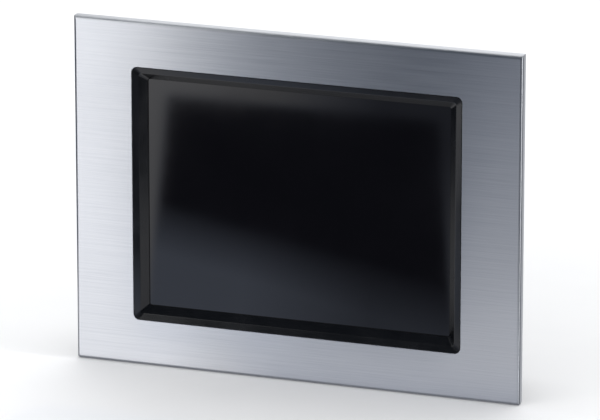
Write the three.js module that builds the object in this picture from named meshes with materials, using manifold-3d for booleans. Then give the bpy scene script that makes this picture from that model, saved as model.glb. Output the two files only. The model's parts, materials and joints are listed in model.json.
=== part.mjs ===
// A built-in industrial touch panel: a folded stainless front with a recessed 12.1 inch touch
// display, a sheet-metal housing with its electronics, and six screw clamps that pull the front
// against a cabinet's cut-out.
//
// Millimetres. +X is right and +Z is up as the operator sees the panel, and +Y goes into the
// cabinet. The origin is the middle of the touch glass's front face. Stations along the depth are
// eighths of a millimetre, so that pieces which lie face to face share exactly the same plane.
import * as THREE from "three";
import { mergeVertices } from "three/addons/utils/BufferGeometryUtils.js";
import Module from "manifold-3d";

const wasm = await Module();
wasm.setup();

// ---------------------------------------------------------------- driving dimensions
const FRONT = { w: 366, h: 282, sheet: 2, bend: 3 };
const WINDOW = { w: 270, h: 208, r: 5 }; // hole in the front for the black frame
const VIEW = { w: 248, h: 186.5, r: 1.5 }; // what shows of the screen
const HOUSE = { w: 308, h: 224, r: 2, sheet: 1.25, flange: 10 };
const MODULE = { w: 276, h: 209, skin: 1 }; // liquid-crystal display module
const GLASS = { w: 262, h: 201, step: 0.75 }; // its rim is ground back by the step
const CUTOUT = { w: 314, h: 234 }; // the hole that the panel is let into
const SEAL = { wide: 8, stands: 1 };
const FLANGE = { grow: 16, play: 1, r: 4 }; // the black frame's flange, larger than the window
const BACKING = { slack: 1.25, r: 3, opening: 4 }; // cast frame behind the steel
const RUN = 0.25; // gap left round pieces that pass through a hole
const SUNK = 0.5; // how far a joined part goes into what carries it

// Stations along +Y, front to back.
const AT = {
  face: -8, // front of the steel
  frame: -7.75, // front of the black frame, just under the steel
  sheet: -6, // back of the steel sheet
  seat: -2, // where the seal lies on the cast frame
  lug: -3, // back of the black frame's flange
  gasket: -0.75,
  glass: 0,
  foam: 3,
  display: 4.25,
  cell: 5.25,
  lamp: 7.5,
  bracket: 13.25,
  carrier: 14.25,
  spacer: 15.75,
  board: 21.75,
  parts: 23.25, // component side of the boards
  cover: 58,
  back: 59.25,
};
const DECK = AT.parts; // sockets stand on this face of the main board
const FLOOR = -HOUSE.h / 2; // outer face of the housing's bottom wall
const INNER_FLOOR = FLOOR + HOUSE.sheet;

const CLAMP_LIFT = 8; // screw axis over the housing wall
const CLAMP_GAP = 0.3; // clamp to wall
const CLAMP_REST = 9; // pad face at rest, with the screw wound back
const CLAMP_SHIFT = 6; // sideways travel from hooked to free
const CLAMP_BASE = { front: 14, boss: 30, back: 42, half: 9, top: 3.3 };
const BOSS_R = 7;
const BORE_R = 2.75; // runs round the M5 screw
const LUGS = [20, 36]; // the two hooks of a clamp, along the depth
const LUG = { half: 2, stem: 1.5, head: 3, tip: 3.25, over: 1.55 };
const CLAMPS = [
  ["top_left", -138, 1],
  ["top_right", 138, 1],
  ["bottom_left", -138, -1],
  ["bottom_right", 138, -1],
];

// ---------------------------------------------------------------- materials
const finish = (color, roughness, metalness) =>
  new THREE.MeshStandardMaterial({ color, roughness, metalness });
const brushedSteel = () => finish(0xb9bcc0, 0.35, 1);
const galvanised = () => finish(0xa7abae, 0.45, 1);
const paintedSteel = () => finish(0x3a3d40, 0.55, 0.2);
const zinc = () => finish(0x9b9ea2, 0.4, 1);
const blackPlastic = () => finish(0x0e0f12, 0.45, 0);
const greenPlastic = () => finish(0x2f7a45, 0.5, 0);
const rubber = () => finish(0x151515, 0.9, 0);
const screen = () => finish(0x07080c, 0.08, 0);
const laminate = () => finish(0x1f5a3a, 0.5, 0);
const whitePlastic = () => finish(0xe6e6e2, 0.5, 0);
const foil = () => finish(0xb58b3c, 0.4, 0.2);

// ---------------------------------------------------------------- solids
// A closed geometry as a solid that can be joined and cut.
function solid(geometry) {
  const bare = geometry.index ? geometry.toNonIndexed() : geometry.clone();
  bare.deleteAttribute("normal");
  bare.deleteAttribute("uv");
  const merged = mergeVertices(bare, 1e-4);
  return new wasm.Manifold(
    new wasm.Mesh({
      numProp: 3,
      vertProperties: merged.attributes.position.array,
      triVerts: new Uint32Array(merged.index.array),
    }),
  );
}

function geometryOf(made) {
  const { vertProperties, triVerts } = made.getMesh();
  const geometry = new THREE.BufferGeometry();
  geometry.setAttribute("position", new THREE.BufferAttribute(vertProperties, 3));
  geometry.setIndex(new THREE.BufferAttribute(triVerts, 1));
  geometry.computeVertexNormals();
  return geometry;
}

const join = (...pieces) =>
  geometryOf(pieces.map(solid).reduce((whole, piece) => whole.add(piece)));

const cut = (body, ...tools) =>
  geometryOf(tools.map(solid).reduce((left, tool) => left.subtract(tool), solid(body)));

// ---------------------------------------------------------------- outlines and simple shapes
// Only curves are divided, so this sets the facets of every rounded corner and slot end.
const FACETS = 2;

function block(x0, x1, y0, y1, z0, z1) {
  const geometry = new THREE.BoxGeometry(x1 - x0, y1 - y0, z1 - z0);
  return geometry.translate((x0 + x1) / 2, (y0 + y1) / 2, (z0 + z1) / 2);
}

// A block centred on x = 0 and z = 0.
const slab = (w, h, y0, y1) => block(-w / 2, w / 2, y0, y1, -h / 2, h / 2);

// A rod along Y.
function rod(radius, y0, y1, x = 0, z = 0, sides = 16) {
  const geometry = new THREE.CylinderGeometry(radius, radius, y1 - y0, sides);
  return geometry.translate(x, (y0 + y1) / 2, z);
}

// A rod along Z.
function post(radius, z0, z1, x = 0, y = 0, sides = 12) {
  const geometry = new THREE.CylinderGeometry(radius, radius, z1 - z0, sides);
  return geometry.rotateX(Math.PI / 2).translate(x, y, (z0 + z1) / 2);
}

function rounded(w, h, r = 0, x = 0, z = 0) {
  const shape = new THREE.Shape();
  const [right, top] = [w / 2 - r, h / 2 - r];
  if (r === 0) {
    const corners = [[-right, -top], [right, -top], [right, top], [-right, top]];
    return shape.setFromPoints(corners.map(([u, v]) => new THREE.Vector2(x + u, z + v)));
  }
  shape.absarc(x + right, z - top, r, -Math.PI / 2, 0);
  shape.absarc(x + right, z + top, r, 0, Math.PI / 2);
  shape.absarc(x - right, z + top, r, Math.PI / 2, Math.PI);
  shape.absarc(x - right, z - top, r, Math.PI, 1.5 * Math.PI);
  return shape;
}

// An outline drawn in (x, z), as a plate from depth y0 to y1.
function plate(outline, y0, y1) {
  const options = { depth: y1 - y0, bevelEnabled: false, curveSegments: FACETS };
  const geometry = new THREE.ExtrudeGeometry(outline, options);
  return geometry.rotateX(Math.PI / 2).translate(0, y1, 0);
}

// The same, with a slope or a round that runs from the outline at depth y0 out to a larger outline.
// It goes on far behind that, so it is cut off or used as a cutter.
function flared(outline, y0, spread, run, steps, length) {
  const options = {
    depth: length,
    bevelThickness: run,
    bevelSize: spread,
    bevelSegments: steps,
    curveSegments: FACETS,
  };
  const geometry = new THREE.ExtrudeGeometry(outline, options);
  return geometry.rotateX(-Math.PI / 2).translate(0, y0 + run, 0);
}

// An outline drawn in (y, z), pushed along X.
function pushedX(outline, x0, x1) {
  const options = { depth: x1 - x0, bevelEnabled: false, curveSegments: FACETS };
  const turn = new THREE.Matrix4().makeBasis(
    new THREE.Vector3(0, 1, 0),
    new THREE.Vector3(0, 0, 1),
    new THREE.Vector3(1, 0, 0),
  );
  return new THREE.ExtrudeGeometry(outline, options).applyMatrix4(turn).translate(x0, 0, 0);
}

// An outline drawn in (x, y), pushed along Z.
function pushedZ(outline, z0, z1) {
  const options = { depth: z1 - z0, bevelEnabled: false, curveSegments: FACETS };
  return new THREE.ExtrudeGeometry(outline, options).translate(0, 0, z0);
}

const outlineOf = (points) =>
  new THREE.Shape(points.map(([u, v]) => new THREE.Vector2(u, v)));

// A flat ring with a rectangular hole.
function ring(outer, inner, y0, y1) {
  outer.holes.push(inner);
  return plate(outer, y0, y1);
}

// The edge-on outline of a flat cable that follows a route.
function ribbon(route, thick) {
  const line = new THREE.CatmullRomCurve3(
    route.map(([u, v]) => new THREE.Vector3(u, v, 0)),
    false,
    "centripetal",
  );
  const steps = 3 * (route.length - 1);
  const sides = [[], []];
  for (let i = 0; i <= steps; i++) {
    const at = line.getPoint(i / steps);
    const along = line.getTangent(i / steps);
    const [dx, dy] = [(-along.y * thick) / 2, (along.x * thick) / 2];
    sides[0].push([at.x + dx, at.y + dy]);
    sides[1].unshift([at.x - dx, at.y - dy]);
  }
  return outlineOf([...sides[0], ...sides[1]]);
}

function add(group, name, geometry, material) {
  const mesh = new THREE.Mesh(geometry, material);
  mesh.name = name;
  group.add(mesh);
  return mesh;
}

function groupIn(parent, x = 0, y = 0, z = 0, turn = 0) {
  const group = new THREE.Group();
  group.position.set(x, y, z);
  group.rotation.y = turn;
  parent.add(group);
  return group;
}

// Where the clamps hook on: the outer face of the wall, with +Z out of it and +X sideways.
// A clamp comes free towards free * X.
const clampPlaces = [
  ...CLAMPS.map(([side, x, up]) => ({
    side,
    x,
    z: (up * HOUSE.h) / 2,
    turn: up > 0 ? 0 : Math.PI,
    free: 1,
  })),
  { side: "left", x: -HOUSE.w / 2, z: 0, turn: -Math.PI / 2, free: 1 },
  { side: "right", x: HOUSE.w / 2, z: 0, turn: Math.PI / 2, free: -1 },
];

// ---------------------------------------------------------------- front
// One stainless sheet, folded back 8 mm all round, with the window for the display.
function frontPanel() {
  const { w, h, sheet, bend } = FRONT;
  const outside = flared(rounded(w - 2 * bend, h - 2 * bend), AT.face, bend, bend, 4, 20);
  const inside = flared(
    rounded(w - 2 * bend, h - 2 * bend),
    AT.sheet,
    bend - sheet,
    bend - sheet,
    2,
    20,
  );
  const behind = slab(w + 10, h + 10, AT.glass, 40);
  const window = plate(rounded(WINDOW.w, WINDOW.h, WINDOW.r), AT.face - 1, AT.glass);
  return cut(outside, behind, inside, window);
}

// Fills the fold, backs the sheet and holds the black frame's flange. Its raised middle fits the
// cabinet's cut-out, and the seal goes round that.
function supportFrame() {
  const inset = 2 * (FRONT.sheet + BACKING.slack); // clears the inner bend of the sheet
  const low = plate(rounded(FRONT.w - inset, FRONT.h - inset, 1), AT.sheet, AT.seat);
  const high = plate(rounded(CUTOUT.w, CUTOUT.h, BACKING.r), AT.sheet, AT.glass);
  const grown = FLANGE.grow + FLANGE.play;
  const seat = plate(rounded(WINDOW.w + grown, WINDOW.h + grown, FLANGE.r), AT.sheet - 1, AT.lug);
  const { opening, r } = BACKING;
  const through = plate(rounded(WINDOW.w + opening, WINDOW.h + opening, r), AT.face, 1);
  return cut(join(low, high), seat, through);
}

function panelSeal() {
  const inner = [CUTOUT.w, CUTOUT.h].map((size) => size + 2 * RUN);
  const outer = [CUTOUT.w, CUTOUT.h].map((size) => size + 2 * SEAL.wide);
  return ring(rounded(...outer, 1), rounded(...inner, BACKING.r), AT.seat, SEAL.stands);
}

// The black frame: a narrow lip that dips a little, then a 45 degree slope down to the glass.
const SLOPE = 5.5; // width and depth of the slope
const LIP_DIP = 1.25;
function bezelFrame() {
  const body = plate(
    rounded(WINDOW.w - 2 * RUN, WINDOW.h - 2 * RUN, WINDOW.r - RUN),
    AT.frame,
    AT.gasket,
  );
  const { grow, r: corner } = FLANGE;
  const flange = plate(rounded(WINDOW.w + grow, WINDOW.h + grow, corner), AT.sheet, AT.lug);
  const { w, h, r } = VIEW;
  const through = plate(rounded(w, h, r), AT.face - 1, AT.glass);
  // the cutters run towards the front, so they are turned round from flared()'s own direction
  const dip = AT.frame + LIP_DIP;
  const slope = towardsFront(rounded(w, h, r), dip + SLOPE, SLOPE, SLOPE, 1);
  const lip = towardsFront(
    rounded(w + 2 * SLOPE, h + 2 * SLOPE, r + 1),
    dip,
    (WINDOW.w - w) / 2 - SLOPE,
    LIP_DIP,
    1,
  );
  return cut(join(body, flange), through, slope, lip);
}

// A cutter that starts with the outline at depth y0 and spreads as it goes towards the front.
function towardsFront(outline, y0, spread, run, steps) {
  const options = {
    depth: 20,
    bevelThickness: run,
    bevelSize: spread,
    bevelSegments: steps,
    curveSegments: FACETS,
  };
  const geometry = new THREE.ExtrudeGeometry(outline, options);
  return geometry.rotateX(Math.PI / 2).translate(0, y0 - run, 0);
}

function touchGasket() {
  const outer = rounded(GLASS.w, GLASS.h);
  return ring(outer, rounded(VIEW.w, VIEW.h, VIEW.r), AT.gasket, GLASS.step);
}

function touchGlass() {
  const rim = slab(GLASS.w, GLASS.h, GLASS.step, AT.foam);
  const face = rounded(VIEW.w - 2 * RUN, VIEW.h - 2 * RUN, VIEW.r - RUN);
  return join(rim, plate(face, AT.glass, AT.foam));
}

// ---------------------------------------------------------------- display
const FOAM = { outside: 2, inside: 10 }; // the dust seal's edges, smaller than the glass
function displaySeal() {
  const outer = rounded(GLASS.w - FOAM.outside, GLASS.h - FOAM.outside);
  const inner = rounded(GLASS.w - FOAM.inside, GLASS.h - FOAM.inside);
  return ring(outer, inner, AT.foam, AT.display);
}

function displayFrame() {
  const { w, h, skin } = MODULE;
  const body = slab(w, h, AT.display, AT.bracket);
  const inside = slab(w - 2 * skin, h - 2 * skin, AT.cell, AT.bracket + 1);
  const opening = slab(VIEW.w + 2, VIEW.h + 2, AT.foam, AT.bracket);
  return cut(body, inside, opening);
}

// Folded strip that holds one side of the display to the carrier.
const BRACKET = { sheet: 1, foot: 12, half: 85 };
function displayBracket(side) {
  const near = MODULE.w / 2 + RUN;
  const { sheet, foot, half } = BRACKET;
  const [wall, flat] = [sheet, foot].map((wide) =>
    [side * near, side * (near + wide)].sort((a, b) => a - b),
  );
  return join(
    block(...wall, AT.cell, AT.carrier, -half, half),
    block(...flat, AT.bracket, AT.carrier, -half, half),
  );
}

// ---------------------------------------------------------------- boards and carrier
const MAIN_BOARD = { left: -66, right: 146, low: FLOOR + 5, high: 10 };
const POWER_BOARD = { left: -148, right: -72, low: FLOOR + 5, high: -20 };
const LAMP_BOARD = { left: -144, right: -44, low: 80, high: 100 };
const TOUCH_BOARD = { left: 60, right: 110, low: 74, high: 100 };
const BOARD_EDGE = 6; // spacers stand this far in from a board's corners
const CARRIER = { w: 304, h: 212, side: 1.5, half: 100 }; // its sides run from -half to half
const SPACER_R = 2.5;
const CABLE_HOLE = { left: 0, right: 40, low: 30, high: 60 };
const TAIL_HOLE = { left: 78, right: 94, low: 104, high: 110 };

const holeThrough = ({ left, right, low, high }) =>
  block(left, right, AT.carrier - 1, AT.spacer + 1, low, high);

// Folded carrier: its two sides stand on the housing's front flange, and the boards' spacers are
// pressed into its back.
function carrierPlate() {
  const { w, h } = CARRIER;
  const pieces = [slab(w, h, AT.carrier, AT.spacer)];
  for (const side of [-1, 1]) {
    const faces = [(side * w) / 2, side * (w / 2 - CARRIER.side)].sort((a, b) => a - b);
    pieces.push(block(...faces, HOUSE.sheet, AT.spacer, -CARRIER.half, CARRIER.half));
  }
  for (const { left, right, low, high } of [MAIN_BOARD, POWER_BOARD, LAMP_BOARD, TOUCH_BOARD])
    for (const x of [left + BOARD_EDGE, right - BOARD_EDGE])
      for (const z of [low + BOARD_EDGE, high - BOARD_EDGE])
        pieces.push(rod(SPACER_R, AT.spacer - SUNK, AT.board, x, z, 8));
  return cut(join(...pieces), holeThrough(CABLE_HOLE), holeThrough(TAIL_HOLE));
}

// A circuit board and what is soldered on it: each part is [left, right, low, high, height].
function circuitBoard({ left, right, low, high }, parts) {
  const board = block(left, right, AT.board, AT.parts, low, high);
  const soldered = parts.map(([x0, x1, z0, z1, tall]) =>
    block(x0, x1, AT.parts - SUNK, AT.parts + tall, z0, z1),
  );
  return join(board, ...soldered);
}

const CHIP = { left: 24, right: 56, low: -61, high: -29, tall: 2 }; // processor
function mainBoard() {
  return circuitBoard(MAIN_BOARD, [
    [CHIP.left, CHIP.right, CHIP.low, CHIP.high, CHIP.tall],
    [-28, 0, -62, -34, 2], // bridge chip
    [-54, -30, -86, -66, 5], // buffer battery
    [86, 94, -78, -8, 8], // memory module in its socket
    [-50, 0, -24, -18, 3], // driver chips in a row
    [84, 104, -90, -78, 6], // chokes behind the network sockets
  ]);
}

const CAN = { r: 5, tall: 16, z: -78, places: [-140, -128, -116] }; // capacitors
function powerBoard() {
  const board = circuitBoard(POWER_BOARD, [
    [-142, -122, -58, -38, 14], // transformer
    [-116, -100, -50, -34, 9], // choke
    [-96, -78, -44, -28, 3], // switching chips
  ]);
  const { r, tall, z } = CAN;
  const cans = CAN.places.map((x) => rod(r, AT.parts - SUNK, AT.parts + tall, x, z, 12));
  return join(board, ...cans);
}

const lampBoard = () =>
  circuitBoard(LAMP_BOARD, [
    [-134, -112, 84, 96, 7],
    [-98, -76, 84, 96, 7],
    [-66, -52, 85, 95, 4],
  ]);

const touchBoard = () =>
  circuitBoard(TOUCH_BOARD, [
    [66, 76, 78, 88, 2],
    [96, 106, 76, 84, 5],
  ]);

// Extruded aluminium comb on the processor, with upright fins.
const SINK = { w: 70, h: 70, base: 4, fin: 20, thick: 1.75, count: 10 };
function heatSink() {
  const { w, h, base, fin, thick, count } = SINK;
  const pitch = (w - thick) / (count - 1);
  const points = [[-w / 2, 0], [w / 2, 0]];
  for (let i = count - 1; i >= 0; i--) {
    const left = -w / 2 + i * pitch;
    points.push([left + thick, base + fin], [left, base + fin]);
    if (i > 0) points.push([left, base], [left - pitch + thick, base]);
  }
  const x = (CHIP.left + CHIP.right) / 2;
  const z = (CHIP.low + CHIP.high) / 2;
  const comb = pushedZ(outlineOf(points), z - h / 2, z + h / 2);
  return comb.translate(x, AT.parts + CHIP.tall + RUN, 0);
}

// ---------------------------------------------------------------- flat cables inside
// Each has its route, its thickness and the two sides that it lies between.
const DISPLAY_CABLE = {
  route: [[13.75, 24], [13.75, 36], [15, 42], [19, 46], [23, 42], [24.25, 34], [24.25, 4]],
  thick: 0.5,
  sides: [10, 30],
};
const TOUCH_TAIL = {
  route: [[2.25, 100.75], [2.25, 103], [4.5, 107], [20, 107], [23, 105.5], [24, 102], [24, 94]],
  thick: 0.5,
  sides: [80, 92],
};
const POWER_CABLE = {
  route: [[-88, 24.5], [-82, 28], [-70, 30], [-58, 28], [-52, 24.5]],
  thick: 1.25,
  sides: [-62, -52],
};
const flatCable = (push, { route, thick, sides }) => push(ribbon(route, thick), ...sides);

// ---------------------------------------------------------------- sockets in the bottom wall
// Each is built with its mouth at z = 0 and its back towards +Z, standing on the main board.
const SOCKETS = { serial: -46, video: -4, usb: 30, lanLeft: 54, lanRight: 76 };
const LAN = { w: 16, h: 13.5, deep: 18, mouth: 12, low: 3.5, high: 11.5, latch: 6 };
const USB = { w: 14.5, h: 15.5, deep: 17, mouth: [12.5, 5], tongue: [11, 1.75], levels: [4, 11.5] };
const MOUTH_DEEP = 13;
const SUB = { post: 2.5, stands: 4.5, middle: 7, tall: 8.5, skin: 0.75 }; // middle is over the deck
const CONTACT = { r: 0.5, pitch: 2.75, row: 1.5 };
const SERIAL = { shell: 17, flange: 31, posts: 12.5 };
const VIDEO = { shell: 26, flange: 38, posts: 16.5 };

function networkSocket() {
  const { w, h, deep, low, high } = LAN;
  const body = block(-w / 2, w / 2, 0, h, 0, deep);
  const mouth = block(-LAN.mouth / 2, LAN.mouth / 2, low, high, -1, MOUTH_DEEP);
  const latch = block(-LAN.latch / 2, LAN.latch / 2, low - 2, low + 0.5, -1, 8);
  return cut(body, mouth, latch);
}

function usbSockets() {
  const { w, h, deep, levels } = USB;
  const across = ([wide, tall], z0, z1) =>
    levels.map((y) => block(-wide / 2, wide / 2, y - tall / 2, y + tall / 2, z0, z1));
  const mouths = across(USB.mouth, -1, MOUTH_DEEP);
  const tongues = across(USB.tongue, 2, MOUTH_DEEP + 1);
  return join(cut(block(-w / 2, w / 2, 0, h, 0, deep), ...mouths), ...tongues);
}

// The D-shaped shell's outline, drawn in (x, y).
function dShape(wide, tall, slant = 1.5) {
  const [x, y] = [wide / 2, tall / 2];
  return outlineOf([[-x + slant, -y], [x - slant, -y], [x, y], [-x, y]]);
}

function dSocket({ shell, flange, posts }, pins) {
  const behind = HOUSE.sheet + RUN;
  const pieces = [
    pushedZ(dShape(shell, SUB.tall), -SUB.stands, behind + SUNK),
    block(-flange / 2, flange / 2, -6.25, 6.25, behind, behind + 1),
    block(-flange / 2 + 5, flange / 2 - 5, -SUB.middle, 4, behind + SUNK, 12),
  ];
  for (const x of [-posts, posts])
    pieces.push(post(SUB.post, -SUB.stands, behind + SUNK, x, 0, 6));
  const body = join(...pieces);
  if (!pins) return body.translate(0, SUB.middle, 0);
  const hollow = pushedZ(
    dShape(shell - 2 * SUB.skin, SUB.tall - 2 * SUB.skin),
    -SUB.stands - 1,
    SUNK,
  );
  const { r, pitch, row } = CONTACT;
  const contacts = [[5, row], [4, -row]].flatMap(([count, y]) =>
    Array.from({ length: count }, (_, i) =>
      post(r, -SUB.stands + 1, 1, (i - (count - 1) / 2) * pitch, y, 6),
    ),
  );
  return join(cut(body, hollow), ...contacts).translate(0, SUB.middle, 0);
}

// ---------------------------------------------------------------- supply inlet and its plug
const INLET = { x: -112, w: 28, low: 23.25, high: 35.25, deep: 12, skin: 1.25 };
function powerHeader() {
  const { w, low, high, deep, skin } = INLET;
  const body = block(-w / 2, w / 2, low, high, 0, deep);
  const room = block(-w / 2 + skin, w / 2 - skin, low + skin + 0.5, high - skin, -1, deep - 1.5);
  return cut(body, room);
}

const PLUG = { poles: [-8, 0, 8], play: 0.5, nose: 9, tall: 14, wire: 3.5, screw: 1.9, screwAt: -8 };
function powerPlug() {
  const { w, low, high, skin } = INLET;
  const { poles, play, nose, tall, wire, screw, screwAt } = PLUG;
  const inset = skin + play;
  const half = w / 2 - inset;
  const tip = block(-half, half, low + inset + 0.5, high - inset, -RUN - SUNK, nose);
  const body = block(-w / 2 + play, w / 2 - play, low + play, high + 1, -tall, -RUN);
  const wires = poles.map((x) => block(x - wire / 2, x + wire / 2, 27, 27 + wire, -tall - 1, -7));
  const heads = poles.map((x) => rod(screw, high - 2, high + 2, x, screwAt, 10));
  return cut(join(tip, body), ...wires, ...heads);
}

// ---------------------------------------------------------------- rocker switch
const SWITCH = { x: -78, y: 34, w: 19, h: 13, pivot: 0.5, tilt: 11 };
function switchBody() {
  const centred = (grow, z0, z1) => {
    const [x, y] = [SWITCH.w / 2 + grow, SWITCH.h / 2 + grow];
    return block(-x, x, -y, y, z0, z1);
  };
  const collar = centred(1, -1.75, -RUN);
  const body = centred(0, -1, 14);
  const pocket = centred(-0.75, -3, 6);
  const pivots = rod(1.25, -SWITCH.h / 2 - RUN, SWITCH.h / 2 + RUN, 0, SWITCH.pivot, 12);
  return cut(join(collar, body), pocket, pivots);
}

function switchRocker() {
  const outline = outlineOf([[-7.75, 2], [-7.75, -3.75], [0, -2.25], [7.75, -3.75], [7.75, 2]]);
  const wing = plate(outline, -5.25, 5.25);
  return join(wing, rod(0.9, -6.25, 6.25, 0, 0, 12));
}

// ---------------------------------------------------------------- memory card
const CARD = { w: 36.5, h: 42.75, thick: 3.25, z: -52, y: 30, in: HOUSE.w / 2 - 41 };
const BAY = { over: 2.5, beside: 3.5, lip: 14, thumb: 14 }; // walls round the card
function cardBay() {
  const { h, thick, in: back } = CARD;
  const wall = HOUSE.w / 2;
  const around = (over, beside, x0, x1) => {
    const [y, z] = [thick / 2 + over, h / 2 + beside];
    return block(x0, x1, -y, y, -z, z);
  };
  const body = around(BAY.over, BAY.beside, back - 5, wall - RUN);
  const neck = around(BAY.over, BAY.beside, wall - 1, wall + 1);
  const lip = block(wall + RUN, wall + 1.5, -BAY.lip / 2, BAY.lip / 2, -h / 2 - 6, h / 2 + 6);
  const slot = around(SUNK, SUNK, back - 2, wall + 4);
  const grip = block(wall - 5, wall + 4, -9, 9, -BAY.thumb / 2, BAY.thumb / 2);
  return cut(join(body, lip, neck), slot, grip);
}

function memoryCard() {
  const { w, h, thick, in: back } = CARD;
  const body = block(back, back + w, -thick / 2, thick / 2, -h / 2, h / 2);
  const lip = block(back + w - 0.5, back + w + 1.5, -thick / 2, thick / 2, -15, 15);
  const grooves = [-1, 1].map((s) =>
    block(back - 1, back + w - 8, -0.6, 0.6, (s * h) / 2 - 0.75, (s * h) / 2 + 0.75),
  );
  return cut(join(body, lip), ...grooves);
}

// ---------------------------------------------------------------- housing
const SCREW = { r: 1.5, hole: 1.75, head: 3, tall: 2 };
const EDGE = HOUSE.flange / 2; // the cover's screws stand in the middle of the flange
const COVER_SCREWS = [-1, 0, 1].flatMap((side) =>
  [1, -1].map((up) => [side * (HOUSE.w / 2 - EDGE), up * (HOUSE.h / 2 - EDGE)]),
);

// A slot with its ends drawn as three flats.
function slot(wide, long, x, z) {
  const [half, end, flat] = [wide / 2, long / 2, wide / 5];
  const shoulder = end - (half - flat);
  return outlineOf(
    [
      [-flat, -end],
      [flat, -end],
      [half, -shoulder],
      [half, shoulder],
      [flat, end],
      [-flat, end],
      [-half, shoulder],
      [-half, -shoulder],
    ].map(([u, v]) => [x + u, z + v]),
  );
}

// An eight-sided outline that clears a round of this radius.
function roundHole(radius, x, z) {
  const corner = radius / Math.cos(Math.PI / 8);
  return outlineOf(
    Array.from({ length: 8 }, (_, i) => {
      const angle = ((i + 0.5) * Math.PI) / 4;
      return [x + corner * Math.cos(angle), z + corner * Math.sin(angle)];
    }),
  );
}

// Evenly spaced places from -reach to reach.
const spaced = (count, reach) =>
  Array.from({ length: count }, (_, i) => -reach + (2 * reach * i) / (count - 1));

// Rows of slots: how many, from -reach to reach, and the size and place of each.
const VENTS = {
  top: { count: 24, reach: 103, wide: 2.5, long: 28, at: 32 },
  bottom: { count: 18, reach: 96, wide: 2.5, long: 10, at: 49 },
  rear: { count: 20, reach: 95, wide: 3, long: 30, at: 74 },
};
const ventRow = ({ count, reach, wide, long, at }) =>
  spaced(count, reach).map((x) => slot(wide, long, x, at));

// The slots of the top and the bottom wall, drawn in (x, y), as cutters.
function ventCutters() {
  const through = (row, wall) =>
    ventRow(row).map((outline) => pushedZ(outline, wall - 4, wall + 4));
  return [...through(VENTS.top, HOUSE.h / 2), ...through(VENTS.bottom, FLOOR)];
}

// Holes in the bottom wall for what passes through it.
function socketCutters() {
  const through = (x, wide, y0, y1) =>
    block(x - wide / 2, x + wide / 2, y0, y1, FLOOR - 2, FLOOR + 4);
  const { serial, video, usb, lanLeft, lanRight } = SOCKETS;
  const cutters = [
    through(lanLeft, LAN.w + 0.5, DECK - RUN, DECK + LAN.h + RUN),
    through(lanRight, LAN.w + 0.5, DECK - RUN, DECK + LAN.h + RUN),
    through(usb, USB.w + 0.5, DECK - RUN, DECK + USB.h + RUN),
    through(INLET.x, INLET.w + 0.5, INLET.low - RUN, INLET.high + RUN),
    through(
      SWITCH.x,
      SWITCH.w + 2 * RUN,
      SWITCH.y - SWITCH.h / 2 - RUN,
      SWITCH.y + SWITCH.h / 2 + RUN,
    ),
    post(EARTH.hole, FLOOR - 2, FLOOR + 4, EARTH.x, EARTH.y),
  ];
  for (const [x, { shell, posts }] of [
    [serial, SERIAL],
    [video, VIDEO],
  ]) {
    const middle = DECK + SUB.middle;
    cutters.push(through(x, shell + 1, middle - 4.75, middle + 4.75));
    for (const side of [-posts, posts])
      cutters.push(post(SUB.post + 0.4, FLOOR - 2, FLOOR + 4, x + side, middle, 12));
  }
  return cutters;
}

// The keyholes of every clamp: narrow where it hooks, wide where it goes in.
function keyholeCutters() {
  return clampPlaces.flatMap(({ x, z, turn, free }) =>
    LUGS.flatMap((y) =>
      [
        block(-3, 3, y - 1.8, y + 1.8, -4, 2).translate(free * 0.7, 0, 0),
        block(-2.4, 2.4, y - 3.4, y + 3.4, -4, 2).translate(free * CLAMP_SHIFT, 0, 0),
      ].map((hole) => hole.rotateY(turn).translate(x, 0, z)),
    ),
  );
}

function housingShell() {
  const { w, h, r, sheet, flange } = HOUSE;
  const body = plate(rounded(w, h, r), AT.glass, AT.cover);
  const room = slab(w - 2 * sheet, h - 2 * sheet, sheet, AT.cover - sheet);
  const openings = slab(w - 2 * flange, h - 2 * flange, -1, AT.cover + 1);
  const tapped = COVER_SCREWS.map(([x, z]) => rod(SCREW.hole, 50, 60, x, z, 12));
  const card = block(
    w / 2 - 4,
    w / 2 + 4,
    CARD.y - CARD.thick / 2 - 2.75,
    CARD.y + CARD.thick / 2 + 2.75,
    CARD.z - CARD.h / 2 - 3.75,
    CARD.z + CARD.h / 2 + 3.75,
  );
  return cut(
    body,
    room,
    openings,
    card,
    ...tapped,
    ...ventCutters(),
    ...socketCutters(),
    ...keyholeCutters(),
  );
}

function rearCover() {
  const outline = rounded(HOUSE.w, HOUSE.h, HOUSE.r);
  for (const [x, z] of COVER_SCREWS) outline.holes.push(roundHole(SCREW.hole, x, z));
  const { rear } = VENTS;
  for (const at of [rear.at, -rear.at]) outline.holes.push(...ventRow({ ...rear, at }));
  return plate(outline, AT.cover, AT.back);
}

// A round part along Y, from its radius at each depth.
function turned(profile, sides = 16) {
  const points = profile.map(([r, y]) => new THREE.Vector2(r, y));
  return new THREE.LatheGeometry(points, sides);
}

const coverScrew = () => {
  const { r, head, tall } = SCREW;
  const body = turned(
    [[0, -5], [r, -5], [r, 0], [head, 0], [head, tall - 0.75], [head - 1, tall], [0, tall]],
    12,
  );
  const cross = [
    block(-1.75, 1.75, tall - 1, tall + 1, -0.4, 0.4),
    block(-0.4, 0.4, tall - 1, tall + 1, -1.75, 1.75),
  ];
  return cut(body, ...cross);
};

const EARTH = { x: 104, y: 30, hole: 2.25 };
function earthScrew() {
  const turnedUp = turned([
    [0, -8], [2, -8], [2, 0.25], [5, 0.25], [5, 1.25], [3.75, 1.25], [3.75, 3], [2.75, 4], [0, 4],
  ]);
  const slotted = block(-5, 5, 3, 5, -0.5, 0.5);
  return cut(turnedUp, slotted).rotateX(-Math.PI / 2);
}

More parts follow.
